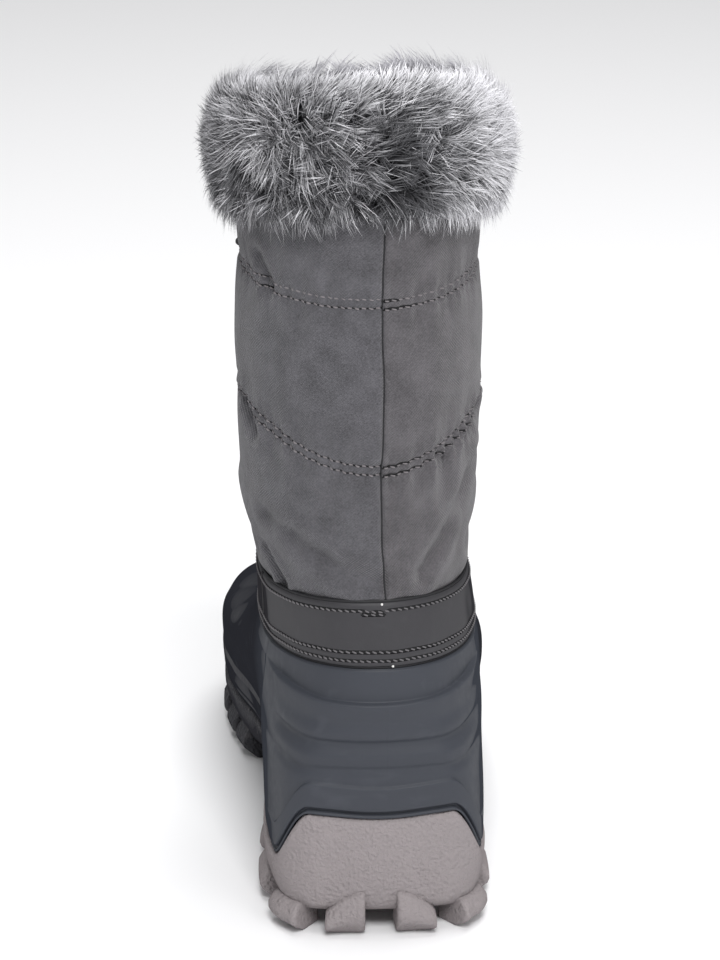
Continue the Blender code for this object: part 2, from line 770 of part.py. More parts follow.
def fur_section():
    """The fur's section as lengths (out, up): its seat, the outside, the inside and its lining."""
    seat = PUFF + FUR_CLEARANCE
    lining = -SHAFT_WALL - FUR_CLEARANCE
    over = FUR_OVERLAP + FUR_CLEARANCE
    section = [(seat, 0.02 * FUR_HEIGHT)]
    for out, up in FUR_OUTER:
        depth = FUR_DEPTH if out > 0 else FUR_INNER_DEPTH + SHAFT_WALL
        section.append((out * depth, up * FUR_HEIGHT))
    section.extend(((lining, over - LINING_GRIP), (lining, over), (seat, over)))
    return section


def add_fur(paint, parts, cutters):
    """The fur collar: a thick ring over the shaft's top edge, with locks fused on."""
    turns = np.arange(FUR_STATIONS) / FUR_STATIONS
    still = np.ones(len(turns))
    grid = np.stack([fur_surface(turns, out * still, up * still) for out, up in fur_section()], axis=1)
    faces = ring_faces(*grid.shape[:2], closed=True)
    fur = add_mesh("fur_collar", grid.reshape(-1, 3), faces, paint, parts)
    vertices, lock_faces = [], []
    for up, droop, count, shift in LOCK_ROWS:
        for k in range(count):
            turn = (k + shift + LOCK_WANDER * math.sin(7.3 * k + 4.1 * up)) / count
            length = LOCK_LENGTH * (LOCK_SHORTEST + LOCK_VARIETY * math.sin(3.7 * k + 9 * up))
            points, made = fur_lock(turn, up * FUR_HEIGHT, droop, length)
            start = len(vertices)
            vertices.extend(points)
            lock_faces.extend(tuple(start + i for i in face) for face in made)
    unite(fur, add_mesh("locks", vertices, lock_faces, None, cutters))
    return fur


def tube(name, points, diameter, paint, parts, sides=2):
    """A round cord through points, as a mesh with welded caps."""
    curve = bpy.data.curves.new(name, "CURVE")
    curve.dimensions = "3D"
    curve.bevel_depth = diameter / 2
    curve.bevel_resolution = sides
    curve.use_fill_caps = True
    spline = curve.splines.new("POLY")
    spline.points.add(len(points) - 1)
    for point, place in zip(spline.points, points):
        point.co = (*map(float, place), 1.0)
    guide = bpy.data.objects.new(name, curve)
    parts.objects.link(guide)
    bpy.context.view_layer.update()
    mesh = bpy.data.meshes.new_from_object(guide.evaluated_get(bpy.context.evaluated_depsgraph_get()))
    bpy.data.objects.remove(guide)
    shape = bmesh.new()
    shape.from_mesh(mesh)
    bmesh.ops.remove_doubles(shape, verts=shape.verts, dist=1e-6)
    bmesh.ops.recalc_face_normals(shape, faces=shape.faces)
    shape.to_mesh(mesh)
    shape.free()
    mesh.shade_smooth()
    mesh.set_sharp_from_angle(angle=math.radians(50))
    mesh.materials.clear()
    if paint:
        mesh.materials.append(paint)
    made = bpy.data.objects.new(name, mesh)
    parts.objects.link(made)
    return made


def loop_height(k):
    """Height of a pair of lace loops, counted from the lowest."""
    first = COLLAR_HEIGHT + LOOP_ABOVE_COLLAR
    last = SHAFT_HEIGHT - LOOP_BELOW_EDGE
    return first + (last - first) * k / (LOOP_COUNT - 1)


def facing_top():
    """How far the facing's outer face stands out from the plain shaft, at most."""
    return PUFF + GAP + FACING_WALL


def facing_girth():
    """Length round the leg for a whole turn, as the facings measure it near the throat."""
    return 2.78 * CALF_WIDTH


LOOP_TURN = 0.5 - (FACING_END + THROAT_EDGE) / 2 / STATIONS


def add_loops(paint, parts):
    """Pairs of lace loops: arches standing on the facings."""
    for k in range(LOOP_COUNT):
        for side_name, sign in (("outer", -1), ("inner", 1)):
            turn = 0.5 + sign * LOOP_TURN
            height = loop_height(k)
            seat = facing_top() + GAP
            reach = LACE_DIAMETER + 3 * LACE_CLEARANCE
            half = (reach + LOOP_WIRE / 2) / facing_girth()
            points = []
            for step in range(6):
                angle = math.pi * step / 5
                swing = half * math.cos(angle)
                rise = seat + LOOP_WIRE / 2 + reach * math.sin(angle)
                points.append(leg(turn + swing, height, rise))
            tube(f"lace_loop_{side_name}_{k + 1}", points, LOOP_WIRE, paint, parts, sides=0)


def lace_run(first_sign, lift, bar):
    """One lace end: from the lowest loop, crossing to the other side at each pair."""
    seat = facing_top() + GAP + LACE_DIAMETER / 2 + lift
    over = LACE_DIAMETER / 2 + lift
    pitch = loop_height(1) - loop_height(0)
    sign = first_sign
    points = []

    def crossing(share, height):
        rise = over + (seat - over) * ramp(abs(share), 0.22, 0.66)
        return leg(0.5 + sign * LOOP_TURN * share, height, rise)

    shares = (0.8, 0.4, 0.0, -0.4, -0.8)
    if bar:
        low = loop_height(0) - 0.16 * pitch
        points.extend(crossing(share, low) for share in (-0.97, *reversed(shares)))
    for k in range(LOOP_COUNT):
        height = loop_height(k)
        for rise in (-0.12, 0.12):
            points.append(leg(0.5 + sign * LOOP_TURN, height + rise * pitch, seat))
        if k < LOOP_COUNT - 1:
            middle = height + pitch / 2
            points.extend(crossing(share, middle - 0.36 * share * pitch) for share in shares)
            sign = -sign
    return points


def add_lace(paint, parts, cutters):
    """The lace's crossings as one solid: two ends that cross, and the bar below them."""
    lower = lace_run(-1, LACE_CLEARANCE, bar=True)
    upper = lace_run(1, 1.7 * LACE_CLEARANCE, bar=False)
    first = tube("lace", lower, LACE_DIAMETER, paint, parts, sides=1)
    unite(first, tube("lace_second", upper, LACE_DIAMETER, None, cutters, sides=1))
    return first


def main():
    for old in list(bpy.data.objects):
        bpy.data.objects.remove(old)
    parts = bpy.data.collections.new("snow_boot")
    cutters = bpy.data.collections.new("cutters")
    bpy.context.scene.collection.children.link(parts)
    bpy.context.scene.collection.children.link(cutters)
    turns = np.arange(STATIONS) / STATIONS
    rubber = material("shell_rubber", (0.095, 0.105, 0.130), 0.45)
    tread = material("sole_rubber", (0.300, 0.265, 0.262), 0.75)
    cloth = material("quilted_cloth", (0.130, 0.125, 0.135), 0.85)
    leather = material("band_leather", (0.075, 0.072, 0.078), 0.60)
    webbing = material("black_webbing", (0.012, 0.012, 0.013), 0.80)
    pile = material("grey_fur", (0.280, 0.285, 0.300), 0.95)
    felt = material("insole_felt", (0.200, 0.200, 0.210), 0.95)
    add_outsole(turns, tread, parts, cutters)
    add_insole(turns[::2], felt, parts)
    add_shell(turns, rubber, parts)
    add_shaft(cloth, parts)
    add_band(leather, parts)
    add_facing("facing_outer", 1, webbing, parts)
    add_facing("facing_inner", -1, webbing, parts)
    add_tongue(webbing, parts)
    add_fur(pile, parts, cutters)
    add_loops(webbing, parts)
    add_lace(webbing, parts, cutters)


main()
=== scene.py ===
import math

import bmesh
import bpy
import numpy as np
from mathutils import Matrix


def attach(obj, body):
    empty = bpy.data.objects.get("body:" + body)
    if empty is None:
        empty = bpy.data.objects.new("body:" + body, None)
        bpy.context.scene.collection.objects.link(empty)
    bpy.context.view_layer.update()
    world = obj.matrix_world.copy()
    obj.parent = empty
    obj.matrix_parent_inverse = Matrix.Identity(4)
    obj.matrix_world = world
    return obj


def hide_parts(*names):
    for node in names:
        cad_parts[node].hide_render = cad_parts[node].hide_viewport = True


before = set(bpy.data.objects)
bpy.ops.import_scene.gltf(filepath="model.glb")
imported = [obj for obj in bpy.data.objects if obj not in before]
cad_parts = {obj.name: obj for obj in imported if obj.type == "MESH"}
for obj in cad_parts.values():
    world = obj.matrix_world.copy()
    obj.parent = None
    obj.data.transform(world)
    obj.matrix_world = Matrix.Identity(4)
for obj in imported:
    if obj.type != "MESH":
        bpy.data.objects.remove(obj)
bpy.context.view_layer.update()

# Sizes that several pieces share, in metres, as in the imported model
boot = {
    "soleLength": 0.280, "heelBack": 0.042, "heelWidth": 0.0875, "ballWidth": 0.108,
    "cupHeight": 0.051, "toeSpring": 0.012, "archRise": 0.007, "heelFloor": 0.030,
    "forefootFloor": 0.018, "rimWall": 0.0055, "lugDepth": 0.009, "collarHeight": 0.110,
    "stepHeight": 0.013, "lineHeight": 0.097, "lineRise": 0.002, "lipHeight": 0.008,
    "shaftHeight": 0.303, "collarDrop": 0.024, "calfWidth": 0.0895, "calfDepth": 0.115,
    "shaftWall": 0.004, "lean": 0.0052, "leanStart": 0.090, "leanEnd": 0.170,
    "backSeamTurn": 0.0155, "lowSeam": 0.189, "lowSeamRise": 0.018, "highSeam": 0.254,
    "highSeamRise": 0.0035, "puff": 0.0022, "bandHeight": 0.027, "bandRise": 0.014,
    "bandWall": 0.002, "facingWall": 0.0016, "bandEnd": 22 / 64, "facingEnd": 23 / 64,
    "throatEdge": 27 / 64, "gap": 0.0003, "rimGap": 0.0005,
}

# turn, along, outer, inner: the sole's outline as shares of its length and local width
outlineTable = np.array((
    (0.000, 0.000, 0.000, 0.000), (0.030, 0.003, 0.165, 0.165), (0.070, 0.016, 0.352, 0.352),
    (0.098, 0.047, 0.443, 0.441), (0.130, 0.116, 0.487, 0.483), (0.190, 0.268, 0.499, 0.472),
    (0.250, 0.418, 0.438, 0.372), (0.310, 0.571, 0.462, 0.385), (0.360, 0.693, 0.478, 0.452),
    (0.400, 0.786, 0.446, 0.478), (0.440, 0.889, 0.362, 0.440), (0.470, 0.962, 0.222, 0.328),
    (0.500, 1.000, -0.065, 0.065),
))
# turn, low rim, top line: heights round the boot as shares of the cup and the collar
heightTable = np.array((
    (0.000, 0.540, 1.000), (0.060, 0.540, 0.996), (0.112, 0.540, 0.985), (0.150, 0.530, 0.974),
    (0.190, 0.530, 0.960), (0.250, 0.550, 0.945), (0.310, 0.520, 0.925), (0.360, 0.490, 0.905),
    (0.400, 0.490, 0.890), (0.440, 0.540, 0.878), (0.470, 0.640, 0.872), (0.500, 0.690, 0.870),
))
# turn, rise, lean, reach, drop: handles of the shell's side, shares of the ball's width
shellTable = np.array((
    (0.000, 0.14, 0.010, 0.025, 0.12), (0.070, 0.16, 0.012, 0.030, 0.14),
    (0.125, 0.24, 0.018, 0.040, 0.17), (0.190, 0.26, 0.020, 0.050, 0.24),
    (0.250, 0.27, 0.020, 0.090, 0.28), (0.310, 0.29, 0.018, 0.150, 0.28),
    (0.360, 0.31, 0.018, 0.230, 0.27), (0.400, 0.32, 0.020, 0.320, 0.26),
    (0.440, 0.36, 0.035, 0.400, 0.25), (0.470, 0.38, 0.045, 0.450, 0.24),
    (0.500, 0.39, 0.050, 0.480, 0.24),
))
# height, half, back, front: the shaft's sections as shares of its height, width and depth
shaftTable = np.array((
    (0.287, 0.462, 0.352, 0.985), (0.364, 0.440, 0.346, 0.925), (0.411, 0.432, 0.338, 0.848),
    (0.452, 0.431, 0.333, 0.776), (0.497, 0.445, 0.328, 0.715), (0.546, 0.466, 0.338, 0.668),
    (0.613, 0.486, 0.354, 0.638), (0.684, 0.495, 0.365, 0.624), (0.766, 0.496, 0.374, 0.618),
    (0.848, 0.490, 0.380, 0.618), (0.957, 0.484, 0.384, 0.620), (1.150, 0.484, 0.386, 0.622),
))


# Cubic pieces through the values; neighbouring pieces share the slope at each knot
def smoothCurve(at, knots, values):
    slopes = np.gradient(values, knots)
    at = np.clip(at, knots[0], knots[-1])
    i = np.clip(np.searchsorted(knots, at, side="right") - 1, 0, len(knots) - 2)
    span = knots[i + 1] - knots[i]
    s = (at - knots[i]) / span
    rest = 1 - s
    ends = values[i] * (1 + 2 * s) * rest**2 + values[i + 1] * (3 - 2 * s) * s**2
    return ends + span * s * rest * (slopes[i] * rest - slopes[i + 1] * s)


# The curve through one column of a table against its first column
def tableCurve(at, table, k):
    return smoothCurve(at, table[:, 0], table[:, k])


# 0 below low, 1 above high, and 3s^2 - 2s^3 between
def smoothStep(value, low, high):
    s = np.clip((value - low) / (high - low), 0, 1)
    return s * s * (3 - 2 * s)


# 1 below low, 0 above high, and 1 - 3s^2 + 2s^3 between
def fallingStep(value, low, high):
    return 1 - smoothStep(value, low, high)


# A bell: 1 in the middle, e^-1 one width away
def bell(value, width):
    return np.exp(-((value / width) ** 2))


# Vectors divided by their lengths
def unit(vectors):
    return vectors / np.linalg.norm(vectors, axis=-1, keepdims=True)


# Numbers and arrays spread out to one shape
def spreadOut(*values):
    return np.broadcast_arrays(*(np.asarray(value, float) for value in values))


# The length run along a path up to each of its points
def runLength(path):
    return np.concatenate(((0,), np.cumsum(np.linalg.norm(np.diff(path, axis=0), axis=-1))))


# Turns measured from the heel along either side, 0 to 0.5
def foldedTurn(turn):
    turn = np.mod(turn, 1.0)
    return np.minimum(turn, 1 - turn)


# The sole's outline: smooth curves of x and y against the turn, run on past both ends
def outlinePoint(turn):
    knots, along, outer, inner = outlineTable.T
    ringTurns = np.concatenate((knots, 1 - knots[-2:0:-1]))
    ringTurns = np.concatenate((ringTurns[-3:] - 1, ringTurns, ringTurns[:4] + 1))
    width = boot["heelWidth"] + (boot["ballWidth"] - boot["heelWidth"]) * smoothStep(along, 0.25, 0.55)
    xs = np.concatenate((outer * width, -(inner * width)[-2:0:-1]))
    ys = np.concatenate((along, along[-2:0:-1])) * boot["soleLength"] - boot["heelBack"]
    xs = np.concatenate((xs[-3:], xs, xs[:4]))
    ys = np.concatenate((ys[-3:], ys, ys[:4]))
    turn = np.mod(turn, 1.0)
    return np.stack((smoothCurve(turn, ringTurns, xs), smoothCurve(turn, ringTurns, ys)), axis=-1)


# Half the turn over which slopes round the boot are taken
turnStep = 0.004


# Points at a height, moved out along the outline's level normal
def aroundSole(turn, out, height):
    turn, out, height = spreadOut(turn, out, height)
    along = unit(outlinePoint(turn + turnStep) - outlinePoint(turn - turnStep))
    normal = np.stack((along[..., 1], -along[..., 0]), axis=-1)
    flat = outlinePoint(turn) + normal * out[..., None]
    return np.concatenate((flat, height[..., None]), axis=-1)


# The share of the sole's length behind y
def shareAlong(y):
    return (y + boot["heelBack"]) / boot["soleLength"]


# The resting surface: flat, then rising with the square of the way into the toe
def groundHeight(y):
    return boot["toeSpring"] * np.clip((shareAlong(y) - 0.68) / 0.32, 0, 1) ** 2


# The sole between its lugs, with a raised arch
def rootHeight(y):
    share = shareAlong(y)
    arch = smoothStep(share, 0.24, 0.36) * fallingStep(share, 0.50, 0.62)
    return groundHeight(y) + boot["lugDepth"] + boot["archRise"] * arch


# The tray's floor, stepping down from heel to forefoot
def floorHeight(y):
    drop = (boot["heelFloor"] - boot["forefootFloor"]) * smoothStep(shareAlong(y), 0.22, 0.62)
    return groundHeight(y) + boot["heelFloor"] - drop


# The sole's rim: a low smooth line, raised to the cup's height by an S-curve at the heel
def rimHeight(turn):
    at = foldedTurn(turn)
    low = tableCurve(at, heightTable, 1)
    cup = fallingStep(at, 0.060, 0.114)
    sag = 0.04 * bell(at, 0.045)
    return boot["cupHeight"] * (low + (1.0 - low) * cup - sag * cup)


# The shell's upper edge: the collar's height times a share from the table
def topLine(turn):
    return boot["collarHeight"] * tableCurve(foldedTurn(turn), heightTable, 2)


# The band's upper edge climbs towards the throat
def bandTop(turn):
    climb = boot["bandRise"] * smoothStep(foldedTurn(turn), 0.24, boot["bandEnd"])
    return topLine(turn) + boot["bandHeight"] + climb


# Both quilting seams rise from the back seam to the sides in a shallow V
def seamHeight(turn, start, rise):
    return start + rise * smoothStep(foldedTurn(turn - boot["backSeamTurn"]), 0.0, 0.25)


# The lower quilting seam
def lowSeam(turn):
    return seamHeight(turn, boot["lowSeam"], boot["lowSeamRise"])


# The upper quilting seam
def highSeam(turn):
    return seamHeight(turn, boot["highSeam"], boot["highSeamRise"])


# The shaft's upper edge drops towards the front with the cosine of the turn
def shaftTop(turn):
    return boot["shaftHeight"] - boot["collarDrop"] * (1 - np.cos(2 * math.pi * turn)) / 2


# A ring of the leg: x = half |sin|^p, y = middle - depth |cos|^p, with p = 2 / 2.2
def legRing(turn, height):
    share = height / boot["shaftHeight"]
    half = boot["calfWidth"] * tableCurve(share, shaftTable, 1)
    back = -boot["calfDepth"] * tableCurve(share, shaftTable, 2)
    front = boot["calfDepth"] * tableCurve(share, shaftTable, 3)
    s, c = np.sin(2 * math.pi * turn), np.cos(2 * math.pi * turn)
    power = 2 / 2.2
    shift = boot["lean"] * smoothStep(height, boot["leanStart"], boot["leanEnd"])
    x = half * np.sign(s) * np.abs(s) ** power - shift
    y = (front + back) / 2 - (front - back) / 2 * np.sign(c) * np.abs(c) ** power
    return np.stack((x, y, height), axis=-1)


# The leg's outward normal: across its rings and up them
def legNormal(turn, height):
    turn, height = spreadOut(turn, height)
    along = legRing(turn + turnStep, height) - legRing(turn - turnStep, height)
    up = legRing(turn, height + 0.001) - legRing(turn, height - 0.001)
    return unit(np.cross(along, up))


# Points out from the leg's rings
def legPoint(turn, height, out=0.0):
    turn, height = spreadOut(turn, height)
    return legRing(turn, height) + legNormal(turn, height) * np.asarray(out)[..., None]


# Quads between neighbouring rows and columns of a grid, whose points are numbered row by row
def gridFaces(rows, columns, wrapRows=False, wrapColumns=False, start=0):
    r = np.arange(rows if wrapRows else rows - 1)[:, None]
    c = np.arange(columns if wrapColumns else columns - 1)[None, :]
    up, right = (r + 1) % rows, (c + 1) % columns
    corners = (r * columns + c, up * columns + c, up * columns + right, r * columns + right)
    return np.stack(np.broadcast_arrays(*corners), axis=-1).reshape(-1, 4) + start


# Six times the volume inside faces: the sum of the triple products of each face's fan
def signedVolume(points, faceSets):
    total = 0.0
    for faces in faceSets:
        first = points[faces[:, 0]]
        for k in range(1, faces.shape[1] - 1):
            total += np.sum(first * np.cross(points[faces[:, k]], points[faces[:, k + 1]]))
    return total


# An object in the scene with given data
def addObject(name, data):
    made = bpy.data.objects.new(name, data)
    bpy.context.scene.collection.objects.link(made)
    return made


# A mesh object from a point array and arrays of equal-sided faces, turned to face outward
def newPiece(name, points, faceSets, material, uv=None, stands=(), closed=True, weld=False):
    points = np.asarray(points, float).reshape(-1, 3)
    if closed and signedVolume(points, faceSets) < 0:
        faceSets = [faces[:, ::-1] for faces in faceSets]
    mesh = bpy.data.meshes.new(name)
    loops = np.concatenate([faces.ravel() for faces in faceSets]).astype(np.int32)
    sizes = np.concatenate([np.full(len(faces), faces.shape[1]) for faces in faceSets])
    starts = np.concatenate(((0,), np.cumsum(sizes)[:-1]))
    mesh.vertices.add(len(points))
    mesh.vertices.foreach_set("co", points.astype(np.float32).ravel())
    mesh.loops.add(len(loops))
    mesh.loops.foreach_set("vertex_index", loops)
    mesh.polygons.add(len(sizes))
    mesh.polygons.foreach_set("loop_start", starts.astype(np.int32))
    mesh.polygons.foreach_set("loop_total", sizes.astype(np.int32))
    if uv is not None:
        layer = mesh.uv_layers.new(name="UVMap")
        layer.uv.foreach_set("vector", np.asarray(uv, np.float32).reshape(-1, 2)[loops].ravel())
    mesh.update(calc_edges=True)
    mesh.validate()
    if weld:
        shape = bmesh.new()
        shape.from_mesh(mesh)
        bmesh.ops.remove_doubles(shape, verts=shape.verts, dist=2e-6)
        shape.to_mesh(mesh)
        shape.free()
    mesh.shade_smooth()
    mesh.materials.append(material)
    piece = addObject(name, mesh)
    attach(piece, "root")
    if stands:
        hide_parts(*stands)
    return piece


# The two end faces of a tube of rows, each a ring of sides points
def endCaps(rows, sides):
    return np.stack((np.arange(sides), np.arange(sides)[::-1] + (rows - 1) * sides))


# A wall: outer rows going up, inner rows coming down, joined into a loop at each station
def wallPiece(name, outer, inner, material, ring, uv=None, stands=()):
    sections = np.concatenate((outer, inner[:, ::-1]), axis=1)
    stations, size = sections.shape[:2]
    faceSets = [gridFaces(stations, size, wrapRows=ring, wrapColumns=True)]
    if not ring:
        faceSets.append(endCaps(stations, size))
    return newPiece(name, sections, faceSets, material, uv, stands)


# A tube: rings of a path's side and lift directions, a (radius, thickness) ellipse
def tubePoints(path, normals, radius, thickness=None, sides=10):
    thickness = radius if thickness is None else thickness
    tangent = unit(np.gradient(path, axis=0))
    side = unit(np.cross(tangent, normals))
    lift = np.cross(side, tangent)
    angle = np.arange(sides) / sides * 2 * math.pi
    radius = np.broadcast_to(radius, len(path))[:, None, None]
    thickness = np.broadcast_to(thickness, len(path))[:, None, None]
    across = np.cos(angle)[None, :, None] * side[:, None] * radius
    return path[:, None] + across + np.sin(angle)[None, :, None] * lift[:, None] * thickness


# A capped tube piece with UVs of (way round, way along)
def tubePiece(name, tubes, material, stands=()):
    points, quads, caps, uvs = [], [], [], []
    start = 0
    for rings in tubes:
        rows, sides = rings.shape[:2]
        quads.append(gridFaces(rows, sides, wrapColumns=True, start=start))
        caps.append(endCaps(rows, sides) + start)
        way = runLength(rings.mean(axis=1))
        uvs.append(np.stack(np.meshgrid(np.arange(sides) / sides, way), axis=-1).reshape(-1, 2))
        points.append(rings.reshape(-1, 3))
        start += rows * sides
    faceSets = [np.concatenate(quads), np.concatenate(caps)]
    return newPiece(name, np.concatenate(points), faceSets, material, np.concatenate(uvs), stands)


# Places and normals at some lengths run along a path
def alongPath(path, normals, way, at):
    return (np.stack([np.interp(at, way, rows[:, k]) for k in range(3)], axis=-1) for rows in (path, normals))


# Stitches along a path: short tapered tubes that dip into the cloth at both ends
def stitchTubes(path, normals, pitch, length, radius, slant=0.0):
    way = runLength(path)
    count = int(way[-1] / pitch)
    starts = (np.arange(count) + 0.5) * way[-1] / count - length / 2
    shares = np.array((0.0, 0.14, 0.5, 0.86, 1.0))
    places, outs = alongPath(path, normals, way, starts[:, None] + shares[None] * length)
    tangent = unit(np.gradient(places, axis=1))
    side = np.cross(tangent, outs)
    dip = np.array((-0.9, 0.35, 0.75, 0.35, -0.9)) * radius
    places = places + outs * dip[None, :, None] + side * (slant * (shares - 0.5))[None, :, None]
    size = np.array((0.35, 0.9, 1.0, 0.9, 0.35)) * radius
    angle = np.arange(5) / 5 * 2 * math.pi
    cosines, sines = np.cos(angle)[None, None, :, None], np.sin(angle)[None, None, :, None]
    ring = cosines * side[:, :, None] + sines * outs[:, :, None]
    return places[:, :, None] + ring * size[None, :, None, None]


# All stitches of some rows as one mesh
def stitchPiece(name, rows, material):
    rings = np.concatenate(rows)
    count, stations, sides = rings.shape[:3]
    one = gridFaces(stations, sides, wrapColumns=True)
    starts = (np.arange(count) * stations * sides)[:, None, None]
    quads = (one[None] + starts).reshape(-1, 4)
    caps = (endCaps(stations, sides)[None] + starts).reshape(-1, sides)
    return newPiece(name, rings, [quads, caps], material)


# Needle holes: flat drops painted dark as the shade in the holes, six points and a sunken middle
def holeShadePoints(path, normals, pitch, size):
    way = runLength(path)
    count = int(way[-1] / pitch)
    places, outs = alongPath(path, normals, way, np.arange(count + 1) * way[-1] / count)
    outs = unit(outs)
    tangent = unit(np.gradient(places, axis=0))
    side = np.cross(tangent, outs)
    angle = np.arange(6) / 6 * 2 * math.pi
    rim = np.cos(angle)[None, :, None] * tangent[:, None] * size
    rim = rim + np.sin(angle)[None, :, None] * side[:, None] * size * 0.62
    rim = places[:, None] + rim + outs[:, None] * 0.00004
    top = places[:, None] + outs[:, None] * 0.00022
    under = places[:, None] - outs[:, None] * 0.0006
    return np.concatenate((rim, top, under), axis=1)


# The drops of some rows as one mesh, each a double cone of six sides
def holeShadePiece(name, rows, material):
    drops = np.concatenate(rows)
    k = np.arange(6)
    n = (k + 1) % 6
    one = np.concatenate((np.stack((k, n, 6 + 0 * k), axis=1), np.stack((n, k, 7 + 0 * k), axis=1)))
    faces = (one[None] + (np.arange(len(drops)) * 8)[:, None, None]).reshape(-1, 3)
    return newPiece(name, drops, [faces], material)


# Points and faces of a rounded box: a cube's grid divided by its own power norm
def roundedBlock(count, power):
    line = np.linspace(-1, 1, count)
    u, v = np.meshgrid(line, line, indexing="ij")
    one = np.ones_like(u)
    sheets = []
    for axis in range(3):
        for sign in (-1.0, 1.0):
            pair = (u, v) if sign > 0 else (v, u)
            sheets.append(np.roll(np.stack((sign * one, *pair), axis=-1), axis, axis=-1))
    points = np.concatenate([sheet.reshape(-1, 3) for sheet in sheets])
    faces = np.concatenate([gridFaces(count, count, start=k * count * count) for k in range(6)])
    kept, index = np.unique(np.round(points, 6), axis=0, return_inverse=True)
    norm = np.sum(np.abs(kept) ** power, axis=-1, keepdims=True) ** (1 / power)
    return kept / norm, index.reshape(-1)[faces]


# A shader node with its settings; a socket given as a value is linked
def putNode(tree, kind, sockets=None, **settings):
    made = tree.nodes.new(kind)
    for key, value in settings.items():
        setattr(made, key, value)
    for key, value in (sockets or {}).items():
        if isinstance(value, bpy.types.NodeSocket):
            tree.links.new(value, made.inputs[key])
        else:
            made.inputs[key].default_value = value
    return made


# The result of one sum on sockets or numbers
def mathNode(tree, operation, *values):
    return putNode(tree, "ShaderNodeMath", dict(enumerate(values)), operation=operation).outputs[0]


# A value taken from one range to another and held at both ends
def rangeNode(tree, value, start, end, low=0.0, high=1.0, **settings):
    sockets = {"Value": value, "From Min": start, "From Max": end, "To Min": low, "To Max": high}
    return putNode(tree, "ShaderNodeMapRange", sockets, **settings).outputs[0]


# Smooth noise of a scale and detail
def noiseNode(tree, vector, scale, detail):
    sockets = {"Vector": vector, "Scale": scale, "Detail": detail}
    return putNode(tree, "ShaderNodeTexNoise", sockets).outputs["Fac"]


# A vector's X, Y and Z
def splitNode(tree, vector):
    return putNode(tree, "ShaderNodeSeparateXYZ", {0: vector}).outputs


# A colour mix: sockets 6, 7 and output 2 of the Mix node are its colours
def mixColours(tree, factor, first, second):
    return putNode(tree, "ShaderNodeMix", {0: factor, 6: first, 7: second}, data_type="RGBA").outputs[2]


# A shader group; None stands for a vector input, a tuple for a colour and a number for a value
def newGroup(name, inputs, outputs):
    tree = bpy.data.node_groups.new(name, "ShaderNodeTree")
    for label, value in inputs.items():
        kind = "Vector" if value is None else "Color" if isinstance(value, tuple) else "Float"
        socket = tree.interface.new_socket(label, in_out="INPUT", socket_type="NodeSocket" + kind)
        if value is not None:
            socket.default_value = value
    for label in outputs:
        kind = "Color" if label == "Colour" else "Float"
        tree.interface.new_socket(label, in_out="OUTPUT", socket_type="NodeSocket" + kind)
    return tree, tree.nodes.new("NodeGroupInput").outputs, tree.nodes.new("NodeGroupOutput").inputs


# A group's outputs for some inputs
def useGroup(tree, group, sockets):
    return putNode(tree, "ShaderNodeGroup", sockets, node_tree=group).outputs


# A material with its node tree and its surface shader
def newMaterial(name, roughness):
    made = bpy.data.materials.new(name)
    made.use_nodes = True
    shader = made.node_tree.nodes["Principled BSDF"]
    shader.inputs["Roughness"].default_value = roughness
    return made, made.node_tree, shader


# Colour mottling: the colour times 1 plus or minus the spread, by two sizes of noise
def makeMottle():
    inputs = {"Vector": None, "Colour": (0.5, 0.5, 0.5, 1), "Spread": 0.1, "Scale": 60.0}
    tree, given, out = newGroup("mottle", inputs, ("Colour", "Fac"))
    broad = noiseNode(tree, given["Vector"], given["Scale"], 3.0)
    fine = noiseNode(tree, given["Vector"], mathNode(tree, "MULTIPLY", given["Scale"], 11.0), 2.0)
    both = mathNode(tree, "ADD", broad, fine)
    centred = mathNode(tree, "ADD", both, -1.0)
    factor = mathNode(tree, "ADD", mathNode(tree, "MULTIPLY", centred, given["Spread"]), 1.0)
    scaled = putNode(tree, "ShaderNodeVectorMath", {0: given["Colour"], "Scale": factor}, operation="SCALE")
    tree.links.new(scaled.outputs[0], out["Colour"])
    tree.links.new(both, out["Fac"])
    return tree


# Grain: a height mixed from noise and rounded cells of one scale
def makeGrain():
    tree, given, out = newGroup("grain", {"Vector": None, "Scale": 900.0, "Cells": 0.5}, ("Height",))
    noise = noiseNode(tree, given["Vector"], given["Scale"], 3.0)
    cells = putNode(tree, "ShaderNodeTexVoronoi", {"Vector": given["Vector"], "Scale": given["Scale"]})
    sockets = {"Factor": given["Cells"], "A": noise, "B": cells.outputs["Distance"]}
    tree.links.new(putNode(tree, "ShaderNodeMix", sockets).outputs["Result"], out["Height"])
    return tree


# Weave: the product of two sine waves across a UV map in metres
def makeWeave():
    tree, given, out = newGroup("weave", {"Vector": None, "Threads": 1500.0}, ("Height",))
    parts = splitNode(tree, given["Vector"])
    wide = [mathNode(tree, "MULTIPLY", parts[axis], given["Threads"]) for axis in ("X", "Y")]
    tree.links.new(mathNode(tree, "MULTIPLY", *(mathNode(tree, "SINE", way) for way in wide)), out["Height"])
    return tree


# Wear: faint pale scuffs where stretched noise is highest
def makeWear():
    inputs = {"Vector": None, "Colour": (0.5, 0.5, 0.5, 1), "Rubbed": (0.6, 0.6, 0.6, 1), "Amount": 0.3}
    tree, given, out = newGroup("wear", inputs, ("Colour", "Mask"))
    sockets = {"Vector": given["Vector"], "Rotation": (0.3, 0.2, 0.9), "Scale": (40.0, 260.0, 120.0)}
    turned = putNode(tree, "ShaderNodeMapping", sockets).outputs[0]
    high = rangeNode(tree, noiseNode(tree, turned, 1.0, 4.0), 0.60, 0.80)
    mask = mathNode(tree, "MULTIPLY", high, given["Amount"])
    tree.links.new(mixColours(tree, mask, given["Colour"], given["Rubbed"]), out["Colour"])
    tree.links.new(mask, out["Mask"])
    return tree


print("shader groups")
mottle = makeMottle()
grain = makeGrain()
weave = makeWeave()
wear = makeWear()


